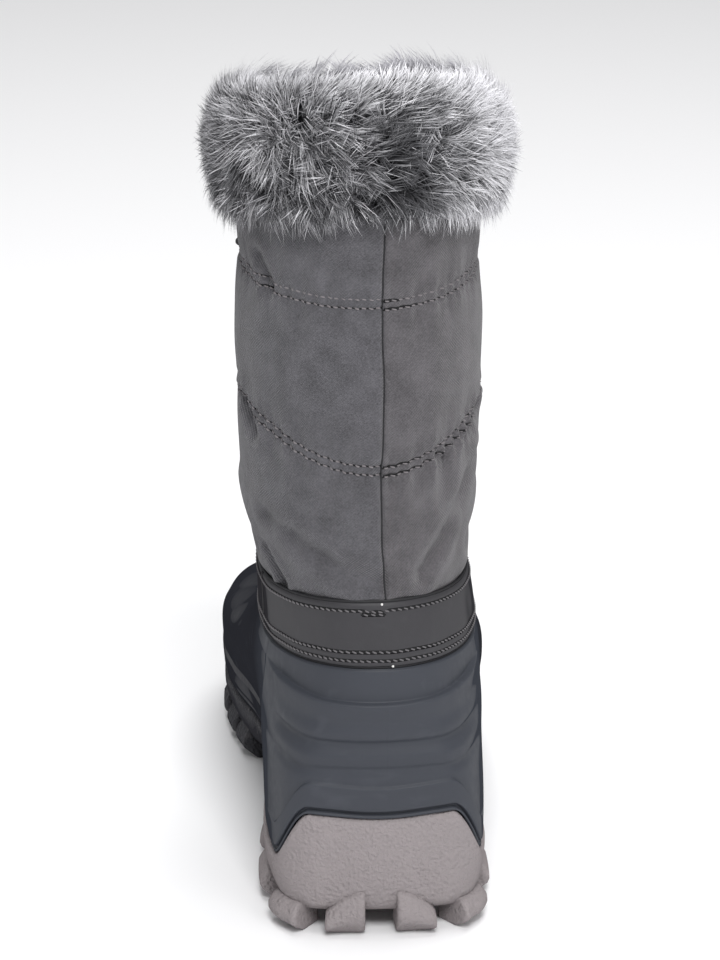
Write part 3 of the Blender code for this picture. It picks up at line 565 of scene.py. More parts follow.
# A matt edge: the specular level falls to nothing where the surface turns away from the eye
def fadeSpecular(tree, shader, level):
    facing = putNode(tree, "ShaderNodeLayerWeight", {"Blend": 0.5}).outputs["Facing"]
    tree.links.new(rangeNode(tree, facing, 0.35, 0.85, level, 0.0), shader.inputs["Specular IOR Level"])


# The base colour mottled, and scuffed if it has a rubbed colour; gives the mottling's noise
def paintBase(tree, shader, place, colour, look, rubbed=None):
    sockets = {"Vector": place, "Colour": colour, "Spread": look["spread"], "Scale": look["broad"]}
    spotted = useGroup(tree, mottle, sockets)
    tone = spotted["Colour"]
    if rubbed is not None:
        sockets = {"Vector": place, "Colour": tone, "Rubbed": rubbed, "Amount": look["scuffs"]}
        tone = useGroup(tree, wear, sockets)["Colour"]
    tree.links.new(tone, shader.inputs["Base Color"])
    return spotted["Fac"]


# The grain's height at a scale, with a share of cells
def grainHeight(tree, place, scale, cells):
    return useGroup(tree, grain, {"Vector": place, "Scale": scale, "Cells": cells})["Height"]


# The surface bent by a height times a distance
def setBump(tree, shader, height, strength, distance):
    bump = putNode(tree, "ShaderNodeBump", {"Height": height, "Strength": strength, "Distance": distance})
    tree.links.new(bump.outputs[0], shader.inputs["Normal"])


# Rubber: mottled, lightly scuffed, with a fine grain and, from frontFrom on, a darker front colour of painted
# shade; ridgeAt adds a mould line at that x behind the heel
def rubberMaterial(name, colour, rubbed, roughness, look):
    made, tree, shader = newMaterial(name, roughness)
    place = putNode(tree, "ShaderNodeTexCoord").outputs["Object"]
    parts = splitNode(tree, place)
    # Painted shade: the colour falls to the darker front colour over 35 mm from frontFrom forward
    front = rangeNode(tree, parts["Y"], look["frontFrom"], look["frontFrom"] + 0.035)
    frontShadeTint = mixColours(tree, front, colour, look["frontShadeColour"])
    spots = paintBase(tree, shader, place, frontShadeTint, look, rubbed)
    rough = rangeNode(tree, spots, 0.7, 1.3, roughness - 0.06, roughness + 0.06)
    tree.links.new(rough, shader.inputs["Roughness"])
    height = grainHeight(tree, place, look["grain"], look["cells"])
    if "ridgeAt" in look:
        off = mathNode(tree, "ABSOLUTE", mathNode(tree, "SUBTRACT", parts["X"], look["ridgeAt"]))
        line = rangeNode(tree, off, 0.0, 0.0005, 1.6, 0.0)
        behind = mathNode(tree, "LESS_THAN", parts["Y"], -0.02)
        height = mathNode(tree, "ADD", height, mathNode(tree, "MULTIPLY", line, behind))
    setBump(tree, shader, height, look["bump"], look["depth"])
    fadeSpecular(tree, shader, look["specular"])
    return made


# Cloth: mottled with a woven bump from a UV map in metres, and a soft sheen
def clothMaterial(name, colour, warm, look):
    made, tree, shader = newMaterial(name, look["roughness"])
    coords = putNode(tree, "ShaderNodeTexCoord").outputs
    side = rangeNode(tree, splitNode(tree, coords["Object"])["X"], -0.001, 0.001)
    paintBase(tree, shader, coords["Object"], mixColours(tree, side, colour, warm), look)
    threads = useGroup(tree, weave, {"Vector": coords["UV"], "Threads": look["threads"]})["Height"]
    fuzz = mathNode(tree, "MULTIPLY", grainHeight(tree, coords["Object"], look["grain"], 0.3), 1.5)
    setBump(tree, shader, mathNode(tree, "ADD", threads, fuzz), look["bump"], look["depth"])
    shader.inputs["Sheen Weight"].default_value = look["sheen"]
    shader.inputs["Sheen Roughness"].default_value = 0.5
    shader.inputs["Specular IOR Level"].default_value = 0.25
    return made


# Leather: pebbled by cells, mottled, lightly rubbed
def leatherMaterial(name, colour, rubbed, look):
    made, tree, shader = newMaterial(name, look["roughness"])
    place = putNode(tree, "ShaderNodeTexCoord").outputs["Object"]
    paintBase(tree, shader, place, colour, look, rubbed)
    setBump(tree, shader, grainHeight(tree, place, look["grain"], 0.75), look["bump"], look["depth"])
    fadeSpecular(tree, shader, 0.4)
    return made


# Braided cord: two crossing waves over a UV map of (way round, way along in metres)
def braidMaterial(name, colour, pale, turns, pitch):
    made, tree, shader = newMaterial(name, 0.75)
    coords = putNode(tree, "ShaderNodeTexCoord").outputs
    parts = splitNode(tree, coords["UV"])
    around = mathNode(tree, "MULTIPLY", parts["X"], 2 * math.pi * turns)
    along = mathNode(tree, "MULTIPLY", parts["Y"], 2 * math.pi / pitch)
    mixed = [mathNode(tree, operation, around, along) for operation in ("ADD", "SUBTRACT")]
    braid = mathNode(tree, "MULTIPLY", *(mathNode(tree, "SINE", way) for way in mixed))
    tone = mixColours(tree, rangeNode(tree, braid, -1.0, 1.0), colour, pale)
    paintBase(tree, shader, coords["Object"], tone, {"spread": 0.2, "broad": 200.0})
    setBump(tree, shader, braid, 0.6, 0.0002)
    return made


# Fur: u runs 0 to 1 from root to tip and v holds each hair's paleness
def hairMaterial(name, look):
    made, tree, shader = newMaterial(name, look["roughness"])
    coords = putNode(tree, "ShaderNodeTexCoord").outputs
    parts = splitNode(tree, coords["UV"])
    start, end = (rangeNode(tree, parts["Y"], 0.0, 1.0, *look[key]) for key in ("darkUntil", "paleFrom"))
    share = rangeNode(tree, parts["X"], start, end, interpolation_type="SMOOTHSTEP")
    tip = mixColours(tree, parts["Y"], look["dullTip"], look["paleTip"])
    paintBase(tree, shader, coords["Object"], mixColours(tree, share, look["root"], tip), look)
    shader.inputs["Specular IOR Level"].default_value = 0.3
    return made


print("materials")
# The shell's darker front colour is painted shade over the forefoot
shellRubber = rubberMaterial("shellRubber", (0.046, 0.050, 0.061, 1), (0.12, 0.125, 0.145, 1), 0.50, {
    "specular": 0.22, "spread": 0.10, "broad": 28.0, "scuffs": 0.16, "grain": 1500.0, "cells": 0.4,
    "bump": 0.25, "depth": 0.00007, "ridgeAt": 0.0026,
    "frontShadeColour": (0.026, 0.027, 0.033, 1), "frontFrom": 0.010,
})
# The sole's darker front colour is painted shade over the forefoot, partly a darker rubber there
soleRubber = rubberMaterial("soleRubber", (0.275, 0.246, 0.250, 1), (0.42, 0.38, 0.37, 1), 0.68, {
    "specular": 0.4, "spread": 0.10, "broad": 40.0, "scuffs": 0.12, "grain": 700.0, "cells": 0.30,
    "bump": 1.0, "depth": 0.0014, "frontShadeColour": (0.040, 0.040, 0.046, 1), "frontFrom": 0.035,
})
quiltCloth = clothMaterial("quiltCloth", (0.089, 0.087, 0.096, 1), (0.093, 0.088, 0.095, 1), {
    "roughness": 0.88, "spread": 0.95, "broad": 110.0, "threads": 5200.0, "grain": 1000.0,
    "bump": 0.7, "depth": 0.00022, "sheen": 0.25,
})
tongueCloth = clothMaterial("tongueCloth", (0.020, 0.020, 0.022, 1), (0.021, 0.020, 0.022, 1), {
    "roughness": 0.85, "spread": 0.25, "broad": 120.0, "threads": 5200.0, "grain": 900.0,
    "bump": 0.5, "depth": 0.0002, "sheen": 0.2,
})
fleece = clothMaterial("fleece", (0.23, 0.225, 0.235, 1), (0.235, 0.225, 0.232, 1), {
    "roughness": 0.95, "spread": 0.3, "broad": 160.0, "threads": 1600.0, "grain": 420.0,
    "bump": 0.9, "depth": 0.0009, "sheen": 0.5,
})
bandLeather = leatherMaterial("bandLeather", (0.033, 0.032, 0.036, 1), (0.075, 0.073, 0.080, 1), {
    "roughness": 0.55, "spread": 0.12, "broad": 45.0, "scuffs": 0.22, "grain": 1700.0,
    "bump": 0.3, "depth": 0.0001,
})
blackTrim = leatherMaterial("blackTrim", (0.012, 0.012, 0.014, 1), (0.05, 0.05, 0.055, 1), {
    "roughness": 0.6, "spread": 0.25, "broad": 90.0, "scuffs": 0.3, "grain": 2000.0,
    "bump": 0.4, "depth": 0.0001,
})
greyThread = braidMaterial("greyThread", (0.11, 0.10, 0.107, 1), (0.27, 0.25, 0.26, 1), 2, 0.0008)
darkThread = braidMaterial("darkThread", (0.050, 0.048, 0.052, 1), (0.21, 0.20, 0.21, 1), 2, 0.0008)
# Painted shade: near-black for the shadowed stitch grooves and needle holes
stitchShade = leatherMaterial("stitchShade", (0.010, 0.010, 0.011, 1), (0.02, 0.02, 0.02, 1), {
    "roughness": 0.9, "spread": 0.3, "broad": 300.0, "scuffs": 0.1, "grain": 2500.0,
    "bump": 0.2, "depth": 0.00005,
})
whiteMark = leatherMaterial("whiteMark", (0.75, 0.74, 0.73, 1), (0.6, 0.6, 0.6, 1), {
    "roughness": 0.7, "spread": 0.1, "broad": 500.0, "scuffs": 0.1, "grain": 2500.0,
    "bump": 0.2, "depth": 0.00005,
})
laceBraid = braidMaterial("laceBraid", (0.014, 0.014, 0.015, 1), (0.040, 0.040, 0.043, 1), 4, 0.0042)
furHair = hairMaterial("furHair", {
    "roughness": 0.6, "spread": 0.35, "broad": 120.0,
    "root": (0.008, 0.008, 0.010, 1), "dullTip": (0.13, 0.13, 0.14, 1),
    "paleTip": (0.80, 0.795, 0.825, 1), "darkUntil": (0.52, 0.12), "paleFrom": (1.05, 0.70),
})


# The ring of the sole's points closed straight across, from each side to the other
def acrossRing(ring, columns):
    half = len(ring) // 2
    near, far = ring[: half + 1], np.concatenate((ring[:1], ring[: half - 1 : -1]))
    share = np.linspace(0, 1, columns)[None, :, None]
    return near[:, None] * (1 - share) + far[:, None] * share


# A bowl: rings from low to high with both ends closed across, the top one dished
def bowlPiece(name, rings, columns, material, stands=(), dish=0.0):
    levels, count = rings.shape[:2]
    faceSets = [gridFaces(levels, count, wrapColumns=True)]
    points = [rings.reshape(-1, 3)]
    start = levels * count
    for ring, turned in ((rings[0], False), (rings[-1], True)):
        sheet = acrossRing(ring, columns)
        if turned:
            sheet[..., 2] -= dish * np.sin(math.pi * np.linspace(0, 1, columns))[None]
        faces = gridFaces(*sheet.shape[:2], start=start)
        faceSets.append(faces[:, ::-1] if turned else faces)
        points.append(sheet.reshape(-1, 3))
        start += sheet.shape[0] * sheet.shape[1]
    points = np.concatenate(points)
    return newPiece(name, points, [np.concatenate(faceSets)], material, stands=stands, weld=True)


print("sole")
sole = {
    "stations": 480, "sideRows": 14, "lugProud": 0.0020, "lugReach": 0.015, "heelClimb": 0.0190,
    "forefootClimb": 0.015, "draft": 0.0060, "blockPower": 16.0, "blockCount": 12,
    "padLength": 0.022, "padWidth": 0.024,
}
soleTurns = np.arange(sole["stations"]) / sole["stations"]
soleY = outlinePoint(soleTurns)[:, 1]
soleEdge, soleRest = rimHeight(soleTurns), rootHeight(soleY)
sideShares = np.linspace(0, 1, sole["sideRows"])
# out, up: the sole's section, from the rest surface and from the rim
soleFoot = ((-0.0078, 0.0), (-0.0062, 0.0002), (-0.0048, 0.0009), (-0.0038, 0.0021))
soleLip = (
    (-0.0002, -0.0013), (-0.0007, -0.0006), (-0.0015, -0.0001), (-0.0025, 0.0),
    (-0.0046, 0.0), (-0.0053, -0.0005), (-0.0056, -0.0018),
)
sideLow, sideHigh = soleRest + 0.0034, soleEdge - 0.0024
soleRows = [(out, soleRest + up) for out, up in soleFoot]
soleRows += [(-0.0026 * (1 - s) ** 2.2, sideLow + (sideHigh - sideLow) * s) for s in sideShares]
soleRows += [(out, soleEdge + up) for out, up in soleLip]
soleRows += [(-boot["rimWall"] - 0.0005, floorHeight(soleY))]
soleRings = np.stack([aroundSole(soleTurns, out, z) for out, z in soleRows])
bowlPiece("soleCup", soleRings, 26, soleRubber, stands=("outsole",))

# first, last turn; climb at both ends; bow of the top edge; where the ridge stands and how far
edgeLugs = (
    (0.0125, 0.046, 1.00, 0.50, 1.6, -0.80, 0.0006), (0.072, 0.113, 0.66, 0.66, 0.9, -0.86, 0.0012),
    (0.136, 0.170, 0.70, 0.70, 1.0, 0.0, 0.0), (0.192, 0.224, 0.70, 0.70, 1.0, 0.0, 0.0),
    (0.334, 0.353, 1.00, 1.00, 1.0, 0.0, 0.0), (0.362, 0.382, 1.00, 1.00, 1.0, 0.0, 0.0),
    (0.394, 0.414, 1.00, 1.00, 1.0, 0.0, 0.0), (0.426, 0.446, 1.00, 1.00, 1.0, 0.0, 0.0),
    (0.458, 0.484, 1.00, 1.00, 1.0, 0.0, 0.0),
)
# along, across, long, wide: pads under the sole, as shares of the foot's and the pad's sizes
middleLugs = (
    (0.150, 0.00, 1.00, 1.00), (0.262, 0.00, 0.70, 0.90), (0.565, -0.11, 0.70, 0.70),
    (0.575, 0.14, 0.70, 0.70), (0.640, 0.01, 0.80, 1.10), (0.740, -0.14, 0.80, 0.80),
    (0.735, 0.12, 0.80, 0.80), (0.835, -0.02, 0.75, 1.00),
)


# An edge lug: a rounded box whose a runs between turns, b from the ground to the climb and c from
# the reach to the face; the face bulges in its middle and carries a ridge along one side
def edgeLugPoints(block, row, mirror):
    first, last, near, far, bow, ridgeAt, ridge = row
    a, b, c = block.T
    share, up, out = (a + 1) / 2, (b + 1) / 2, (c + 1) / 2
    turn = first + (last - first) * share
    heel = fallingStep(turn, 0.19, 0.30)
    climb = sole["forefootClimb"] + (sole["heelClimb"] - sole["forefootClimb"]) * heel
    climb = climb * (near + (far - near) * share**bow)
    turn = 1 - turn if mirror else turn
    y = outlinePoint(turn)[:, 1]
    low = groundHeight(y)
    face = sole["lugProud"] * (0.55 + 0.45 * np.sin(math.pi * np.clip(up * 0.9 + 0.1, 0, 1)))
    face = face - 0.0022 * smoothStep(up, 0.6, 1.0) - sole["draft"] * np.clip(1 - up / 0.4, 0, 1)
    face = face - 0.0014 * (1 - heel)
    face = face + ridge * bell(a - ridgeAt, 0.22) * smoothStep(up, 0.0, 0.2)
    return aroundSole(turn, -sole["lugReach"] + (face + sole["lugReach"]) * out, low + climb * up)


# A middle pad: a rounded six-sided block that flares 12% from its foot to its root
def middleLugPoints(block, row):
    along, across, long, wide = row
    a, b, c = block.T
    y0 = along * boot["soleLength"] - boot["heelBack"]
    x0 = across * boot["ballWidth"]
    up = (c + 1) / 2
    taper = 1 - 0.4 * smoothStep(np.abs(a), 0.0, 1.0)
    flare = 1 + 0.12 * up
    x = x0 + a * 0.5 * wide * sole["padWidth"] * flare
    y = y0 + b * 0.5 * long * sole["padLength"] * flare * taper
    low = groundHeight(np.full_like(y, y0))
    high = rootHeight(np.full_like(y, y0)) + 0.4 * boot["lugDepth"]
    return np.stack((x, y, low + (high - low) * up), axis=-1)


block, blockFaces = roundedBlock(sole["blockCount"], sole["blockPower"])
lugSets = [edgeLugPoints(block, row, mirror) for row in edgeLugs for mirror in (False, True)]
lugSets += [middleLugPoints(block, row) for row in middleLugs]
lugFaces = []
for k, points in enumerate(lugSets):
    turned = blockFaces if signedVolume(points, [blockFaces]) > 0 else blockFaces[:, ::-1]
    lugFaces.append(turned + k * len(block))
lugPoints, lugFaces = np.concatenate(lugSets), np.concatenate(lugFaces)
newPiece("soleLugs", lugPoints, [lugFaces], soleRubber, stands=("outsole",))

print("insole")
insoleStations = 240
insoleTurns = np.arange(insoleStations) / insoleStations
insoleLow = floorHeight(outlinePoint(insoleTurns)[:, 1]) + boot["gap"]
insoleRows = (
    (-0.0085, 0.0), (-0.0074, 0.0006), (-0.0070, 0.0018),
    (-0.0074, 0.0031), (-0.0086, 0.0038), (-0.0110, 0.0040),
)
insoleRings = np.stack([aroundSole(insoleTurns, out, insoleLow + z) for out, z in insoleRows])
bowlPiece("insolePad", insoleRings, 30, fleece, stands=("insole",), dish=0.0008)

print("shell")
shell = {
    "stations": 560, "wall": 0.003, "groove": 0.0017, "stepProud": 0.0012, "lineProud": 0.0016,
    "shoulderSink": 0.0008, "ribDips": ((0.50, 0.085, 0.0014), (0.17, 0.075, 0.0010)),
    "ribCrests": ((0.33, 0.06, 0.0006), (0.62, 0.10, 0.0006)), "counterEdge": 0.0014,
    "randHeight": 0.0125, "randProud": 0.0009,
}


# The shell's lower edge: clear of the rim by the gap, square to the rim's slope
def shellFoot(turns):
    climb = rimHeight(turns + 0.002) - rimHeight(turns - 0.002)
    run = np.linalg.norm(outlinePoint(turns + 0.002) - outlinePoint(turns - 0.002), axis=-1)
    return rimHeight(turns) + boot["rimGap"] * np.hypot(1, climb / run)


# The shell's side: a cubic Bezier from the rim to the top line with handles from the table
def shellCurve(turns, samples):
    at = foldedTurn(turns)
    rise, lean, reach, drop = (boot["ballWidth"] * tableCurve(at, shellTable, k) for k in range(1, 5))
    low = aroundSole(turns, -0.0010, shellFoot(turns))
    out = aroundSole(turns, 1.0, 0.0) - aroundSole(turns, 0.0, 0.0)
    high = legPoint(turns, topLine(turns), np.full(len(turns), boot["bandWall"] + boot["gap"]))
    up = np.array((0.0, 0.0, 1.0))
    first = low + out * lean[:, None] + up * rise[:, None]
    second = high + out * reach[:, None] - up * drop[:, None]
    s = samples[None, :, None]
    curve = low[:, None] * (1 - s) ** 3 + first[:, None] * 3 * s * (1 - s) ** 2
    return curve + second[:, None] * 3 * s**2 * (1 - s) + high[:, None] * s**3


shellTurns = (np.arange(shell["stations"]) + 0.5) / shell["stations"]
shellEdge = shellFoot(shellTurns)
shellStep = shellEdge + boot["stepHeight"]
shellLine = boot["lineHeight"] + boot["lineRise"] * smoothStep(foldedTurn(shellTurns), 0.0, 0.25)
shellTop = topLine(shellTurns)
narrow = 0.0006
stops = (
    (shellEdge, shellEdge + 0.0034, 12),
    (shellEdge + 0.0034, shellStep - narrow, 9),
    (shellStep - narrow, shellStep + narrow, 5),
    (shellStep + narrow, shellLine - narrow, 44),
    (shellLine - narrow, shellLine + narrow, 5),
    (shellLine + narrow, shellTop, 22),
)
shellHeights = [a[:, None] + (b - a)[:, None] * (np.arange(n) / n)[None] for a, b, n in stops]
shellHeights = np.concatenate(shellHeights + [shellTop[:, None]], axis=1)
samples = np.linspace(0, 1, 161)
curves = shellCurve(shellTurns, samples)
rising = np.maximum.accumulate(curves[:, :, 2], axis=1) + 1e-7 * np.arange(len(samples))
heelShare = fallingStep(foldedTurn(shellTurns), 0.14, 0.27)
levels = shellHeights.shape[1]
even = np.linspace(0, 1, levels)
shellPlaces = np.stack([np.interp(h, z, samples) for h, z in zip(shellHeights, rising)])
shellPlaces = heelShare[:, None] * shellPlaces + (1 - heelShare[:, None]) * even[None]
shellPlaces[:, 0], shellPlaces[:, -1] = 0, 1
shellForm = [[np.interp(p, samples, c[:, k]) for k in range(3)] for p, c in zip(shellPlaces, curves)]
shellForm = np.moveaxis(np.array(shellForm), 1, 2)
shellAlong = np.roll(shellForm, -1, axis=0) - np.roll(shellForm, 1, axis=0)
shellNormal = unit(np.cross(shellAlong, np.gradient(shellForm, axis=1)))


# How far the shell stands out: sums of smooth steps and bells in height and turn
def shellRelief(turns, z):
    at = foldedTurn(turns)[:, None]
    edge, step = shellEdge[:, None], shellStep[:, None]
    line, top = shellLine[:, None], shellTop[:, None]
    heel = fallingStep(at, 0.135, 0.20)
    above = z - edge
    lip = -shell["groove"] * smoothStep(above, 0.0009, 0.0014) * fallingStep(above, 0.0022, 0.0031)
    lip = lip * fallingStep(at, 0.10, 0.13) - 0.0006 * fallingStep(above, 0.0024, 0.0040)
    lower = shell["stepProud"] * fallingStep(z - step, -narrow, narrow)
    lower = lower * fallingStep(at, 0.085, 0.14)
    back = boot["cupHeight"] + boot["stepHeight"]
    share = np.clip((z - back) / (line - back), 0, 1)
    ribs = 0.0
    for middle, width, depth in shell["ribDips"]:
        ribs = ribs - depth * bell(share - middle, np.where(share < middle, width, width * 0.45))
    for middle, width, height in shell["ribCrests"]:
        ribs = ribs + height * bell(share - middle, width)
    ribs = ribs * fallingStep(at, 0.11, 0.17) * smoothStep(z - back, -0.004, 0.001)
    proud = shell["lineProud"] * smoothStep(share, 0.72, 0.99) * heel
    proud = proud * fallingStep(z - line, -narrow, narrow)
    sink = shell["shoulderSink"] * smoothStep(z - line, 0, narrow) * fallingStep(z, line, top) * heel
    counter = -shell["counterEdge"] * smoothStep(at, 0.188, 0.198) * fallingStep(at, 0.24, 0.36)
    counter = counter * np.sin(math.pi * np.clip(share * 0.9 + 0.08, 0, 1)) ** 0.5
    rand = shell["randProud"] * fallingStep(above - shell["randHeight"], -0.001, 0.001)
    rand = rand * smoothStep(at, 0.20, 0.26)
    return lip + lower + ribs + proud - sink + counter + rand


shellRise = shellRelief(shellTurns, shellForm[..., 2])
level = shellNormal.copy()
level[..., 2] *= smoothStep(np.arange(levels), 2, 10)[None]
level = unit(level)
shellFace = shellForm + level * shellRise[..., None]
still = np.zeros(len(shellTurns))
lipRises, backRises = (2 * boot["gap"], 0.004, boot["lipHeight"]), (0.0, 0.004, boot["lipHeight"])
lipRows = [legPoint(shellTurns, shellTop + z, still) for z in lipRises]
backRows = [legPoint(shellTurns, shellTop + z, still - shell["wall"]) for z in backRises]
kept = np.linspace(0, levels - 1, 16).astype(int)
shellInner = shellForm[:, kept] - level[:, kept] * shell["wall"]
shellOuter = np.concatenate((shellFace, np.stack(lipRows, axis=1)), axis=1)
shellInner = np.concatenate((shellInner, np.stack(backRows, axis=1)), axis=1)
wallPiece("shellSkin", shellOuter, shellInner, shellRubber, True, stands=("shell",))

print("shaft")
quilt = {
    "stations": 340, "rowGap": 0.0034, "pinch": 0.0006, "fillPower": 0.62, "puckers": 0.00050,
    "puckerWave": 0.0046, "folds": 0.00105, "foldWave": 0.0125, "seamGroove": 0.0009,
    "seamWidth": 0.0007,
}
girth = 0.285
# around, up, around, up, width, depth: soft troughs between two points of the cloth, in metres
creases = (
    (-0.044, 0.1640, -0.030, 0.1600, 0.0042, 0.0007), (-0.030, 0.1600, -0.017, 0.1530, 0.0042, 0.0009),
    (-0.017, 0.1530, 0.000, 0.1440, 0.0042, 0.0009), (0.034, 0.1590, 0.022, 0.1460, 0.0040, 0.0010),
    (0.048, 0.1760, 0.036, 0.1640, 0.0045, 0.0007), (-0.050, 0.1480, -0.043, 0.1370, 0.0030, 0.0009),
    (-0.060, 0.2050, -0.050, 0.1960, 0.0035, 0.0008), (0.060, 0.2040, 0.052, 0.1950, 0.0035, 0.0008),
    (-0.046, 0.2660, -0.040, 0.2560, 0.0030, 0.0008), (0.070, 0.1560, 0.058, 0.1480, 0.0050, 0.0012),
    (-0.078, 0.1560, -0.064, 0.1470, 0.0050, 0.0012),
)


# The distance from points to a straight piece between two others
def distanceTo(x, y, x0, y0, x1, y1):
    across, up = x1 - x0, y1 - y0
    share = np.clip(((x - x0) * across + (y - y0) * up) / (across**2 + up**2), 0, 1)
    return np.hypot(x - x0 - share * across, y - y0 - share * up)


# The back seam wanders a little round its turn as it goes up
def backSeamTurn(height):
    return boot["backSeamTurn"] + 0.0009 * np.sin(height * 95) + 0.0004 * np.sin(height * 230)


# Quilting: sin(pi share)^power between seams, less a pinch at each stitch row; waves of sin(arc)
# fade away from the seams; troughs fall with the square of the distance from each crease
def quiltOut(turn, height):
    turn, height = np.broadcast_arrays(turn, height)
    arc = turn * girth
    band, low, high = bandTop(turn), lowSeam(turn), highSeam(turn)
    top = shaftTop(turn) + 0.012
    out = np.zeros_like(height)
    for start, end in ((band, low), (low, high), (high, top)):
        share = np.clip((height - start) / (end - start), 0, 1)
        out = out + boot["puff"] * np.sin(math.pi * share) ** quilt["fillPower"]
    wave = np.sin(2 * math.pi * arc / quilt["foldWave"] + 2.0 * np.sin(arc * 61.0))
    fine = np.sin(2 * math.pi * arc / quilt["puckerWave"] + 1.5 * np.sin(arc * 143.0))
    for seam, strength in ((low, 1.0), (high, 0.8)):
        off = height - seam
        away = np.maximum(np.abs(off) - quilt["rowGap"] / 2, 0)
        right = 1 + 1.6 * smoothStep(arc, 0.014, 0.03) * (off < 0) * (seam is low)
        folds = quilt["folds"] * wave * np.exp(-away / 0.009) * smoothStep(away, 0, 0.003)
        out = out + strength * right * (folds + quilt["puckers"] * fine * np.exp(-away / 0.0035))
        for row in (-0.5, 0.5):
            out = out - quilt["pinch"] * bell(off - row * quilt["rowGap"], 0.0007)
        out = out + 0.0004 * bell(off, 0.0009)
    edge = height - band
    out = out + 0.0005 * wave * np.exp(-np.maximum(edge, 0) / 0.006) * smoothStep(edge, 0, 0.003)
    trough, lip = np.zeros_like(height), np.zeros_like(height)
    for x0, y0, x1, y1, width, depth in creases:
        away = distanceTo(arc, height, x0, y0, x1, y1)
        trough = np.maximum(trough, depth * bell(away, width))
        lip = np.maximum(lip, depth * bell(away - 1.9 * width, width))
    out = out - 2.7 * trough + 1.3 * lip
    shiver = np.sin(arc * 190 + height * 95) * np.sin(arc * 83 - height * 140)
    out = out + 0.00018 * shiver * smoothStep(edge, 0, 0.006)
    groove = quilt["seamGroove"] * bell(arc - backSeamTurn(height) * girth, quilt["seamWidth"])
    return out - groove * smoothStep(edge, -0.001, 0.003)


edgeTurn = boot["throatEdge"]
bend = np.linspace(-1, 1, quilt["stations"])
shaftTurns = edgeTurn * (0.90 * bend + 0.10 * bend**5)
dense = boot["backSeamTurn"] + np.linspace(-0.010, 0.010, 31)
sparse = shaftTurns[np.abs(shaftTurns - boot["backSeamTurn"]) > 0.0105]
shaftTurns = np.sort(np.concatenate((sparse, dense)))
shaftLow = topLine(shaftTurns) + boot["lipHeight"] + boot["gap"]


# Heights between two lines, closer together near both of them
def seamRows(start, end, count, last=False):
    k = np.arange(count + 1 if last else count) / count
    share = 0.55 * k + 0.45 * (0.5 - 0.5 * np.cos(math.pi * k))
    return start[:, None] + (end - start)[:, None] * share[None]


shaftRows = np.concatenate(
    (
        seamRows(shaftLow, bandTop(shaftTurns), 3),
        seamRows(bandTop(shaftTurns), lowSeam(shaftTurns), 62),
        seamRows(lowSeam(shaftTurns), highSeam(shaftTurns), 62),
        seamRows(highSeam(shaftTurns), shaftTop(shaftTurns), 26, last=True),
    ),
    axis=1,
)
shaftGrid = np.broadcast_to(shaftTurns[:, None], shaftRows.shape)
shaftOut = quiltOut(shaftGrid, shaftRows) * smoothStep(shaftRows - bandTop(shaftGrid), -0.004, 0.0005)
shaftOuter = legPoint(shaftGrid, shaftRows, shaftOut)
innerRows = seamRows(shaftLow, shaftTop(shaftTurns), 27, last=True)
innerGrid = np.broadcast_to(shaftTurns[:, None], innerRows.shape)
shaftInner = legPoint(innerGrid, innerRows, np.full(innerRows.shape, -boot["shaftWall"]))
shaftUv = np.concatenate(
    (
        np.stack((shaftGrid * girth, shaftRows), axis=-1),
        np.stack((innerGrid * girth, innerRows), axis=-1)[:, ::-1],
    ),
    axis=1,
)
shaftQuilt = wallPiece(
    "shaftQuilt", shaftOuter, shaftInner, quiltCloth, False, shaftUv, stands=("shaft",)
)


# Gives the faces between two columns of a wall another material
def paintColumns(piece, stations, size, first, last, material):
    piece.data.materials.append(material)
    index = np.zeros(len(piece.data.polygons), np.int32)
    column = np.arange((stations - 1) * size) % size
    index[: len(column)] = (column >= first) & (column < last)
    piece.data.polygons.foreach_set("material_index", index)


paintColumns(shaftQuilt, len(shaftTurns), shaftUv.shape[1], shaftRows.shape[1], shaftUv.shape[1], fleece)


# A path over the quilted cloth at given turns and heights, with its normals
def onCloth(turns, heights, lift=0.0):
    out = quiltOut(turns, heights) + lift
    return legPoint(turns, heights, out), legNormal(turns, heights)


# The groove, threads and needle holes of some (path, normals) rows, as three pieces; groove and holes are
# dark, painted shade
def sewRows(prefix, rows, sewn, thread):
    tube, thickness = sewn["groove"], sewn["grooveDepth"]
    stitch = [sewn[key] for key in ("pitch", "length", "radius", "slant")]
    grooveShades = [tubePoints(path[::2], outs[::2], tube, thickness, sides=4) for path, outs in rows]
    threads = [stitchTubes(path, outs, *stitch) for path, outs in rows]
    holeShades = [holeShadePoints(path, outs, sewn["pitch"], sewn["hole"]) for path, outs in rows]
    tubePiece(prefix + "GrooveShades", grooveShades, stitchShade)
    stitchPiece(prefix + "Stitches", threads, thread)
    holeShadePiece(prefix + "HoleShades", holeShades, stitchShade)


print("quilting stitches")
stitches = {
    "samples": 500, "pitch": 0.0027, "length": 0.0021, "radius": 0.00038, "slant": 0.0004,
    "hole": 0.00060, "groove": 0.00074, "grooveDepth": 0.00016,
}
quiltRows = []
for seam in (lowSeam, highSeam):
    for row in (-0.5, 0.5):
        for sign, jog in ((-1, 0.0), (1, -0.0008)):
            first = boot["backSeamTurn"] + sign * 0.0012
            turns = np.linspace(first, sign * (boot["facingEnd"] + 0.004), stitches["samples"])
            heights = seam(turns) + row * quilt["rowGap"] + jog * bell(turns, 0.05)
            quiltRows.append(onCloth(turns, heights, 0.00005))
sewRows("quilt", quiltRows, stitches, greyThread)
seamHeights = np.linspace(boot["shaftHeight"] - 0.012, bandTop(np.array(0.0)) + 0.0002, 220)
seamTurns = backSeamTurn(seamHeights)
seamPath, seamNormals = onCloth(seamTurns, seamHeights, 0.00012)
tubePiece("backSeam", [tubePoints(seamPath, seamNormals, 0.00032, 0.0002, sides=6)], blackTrim)

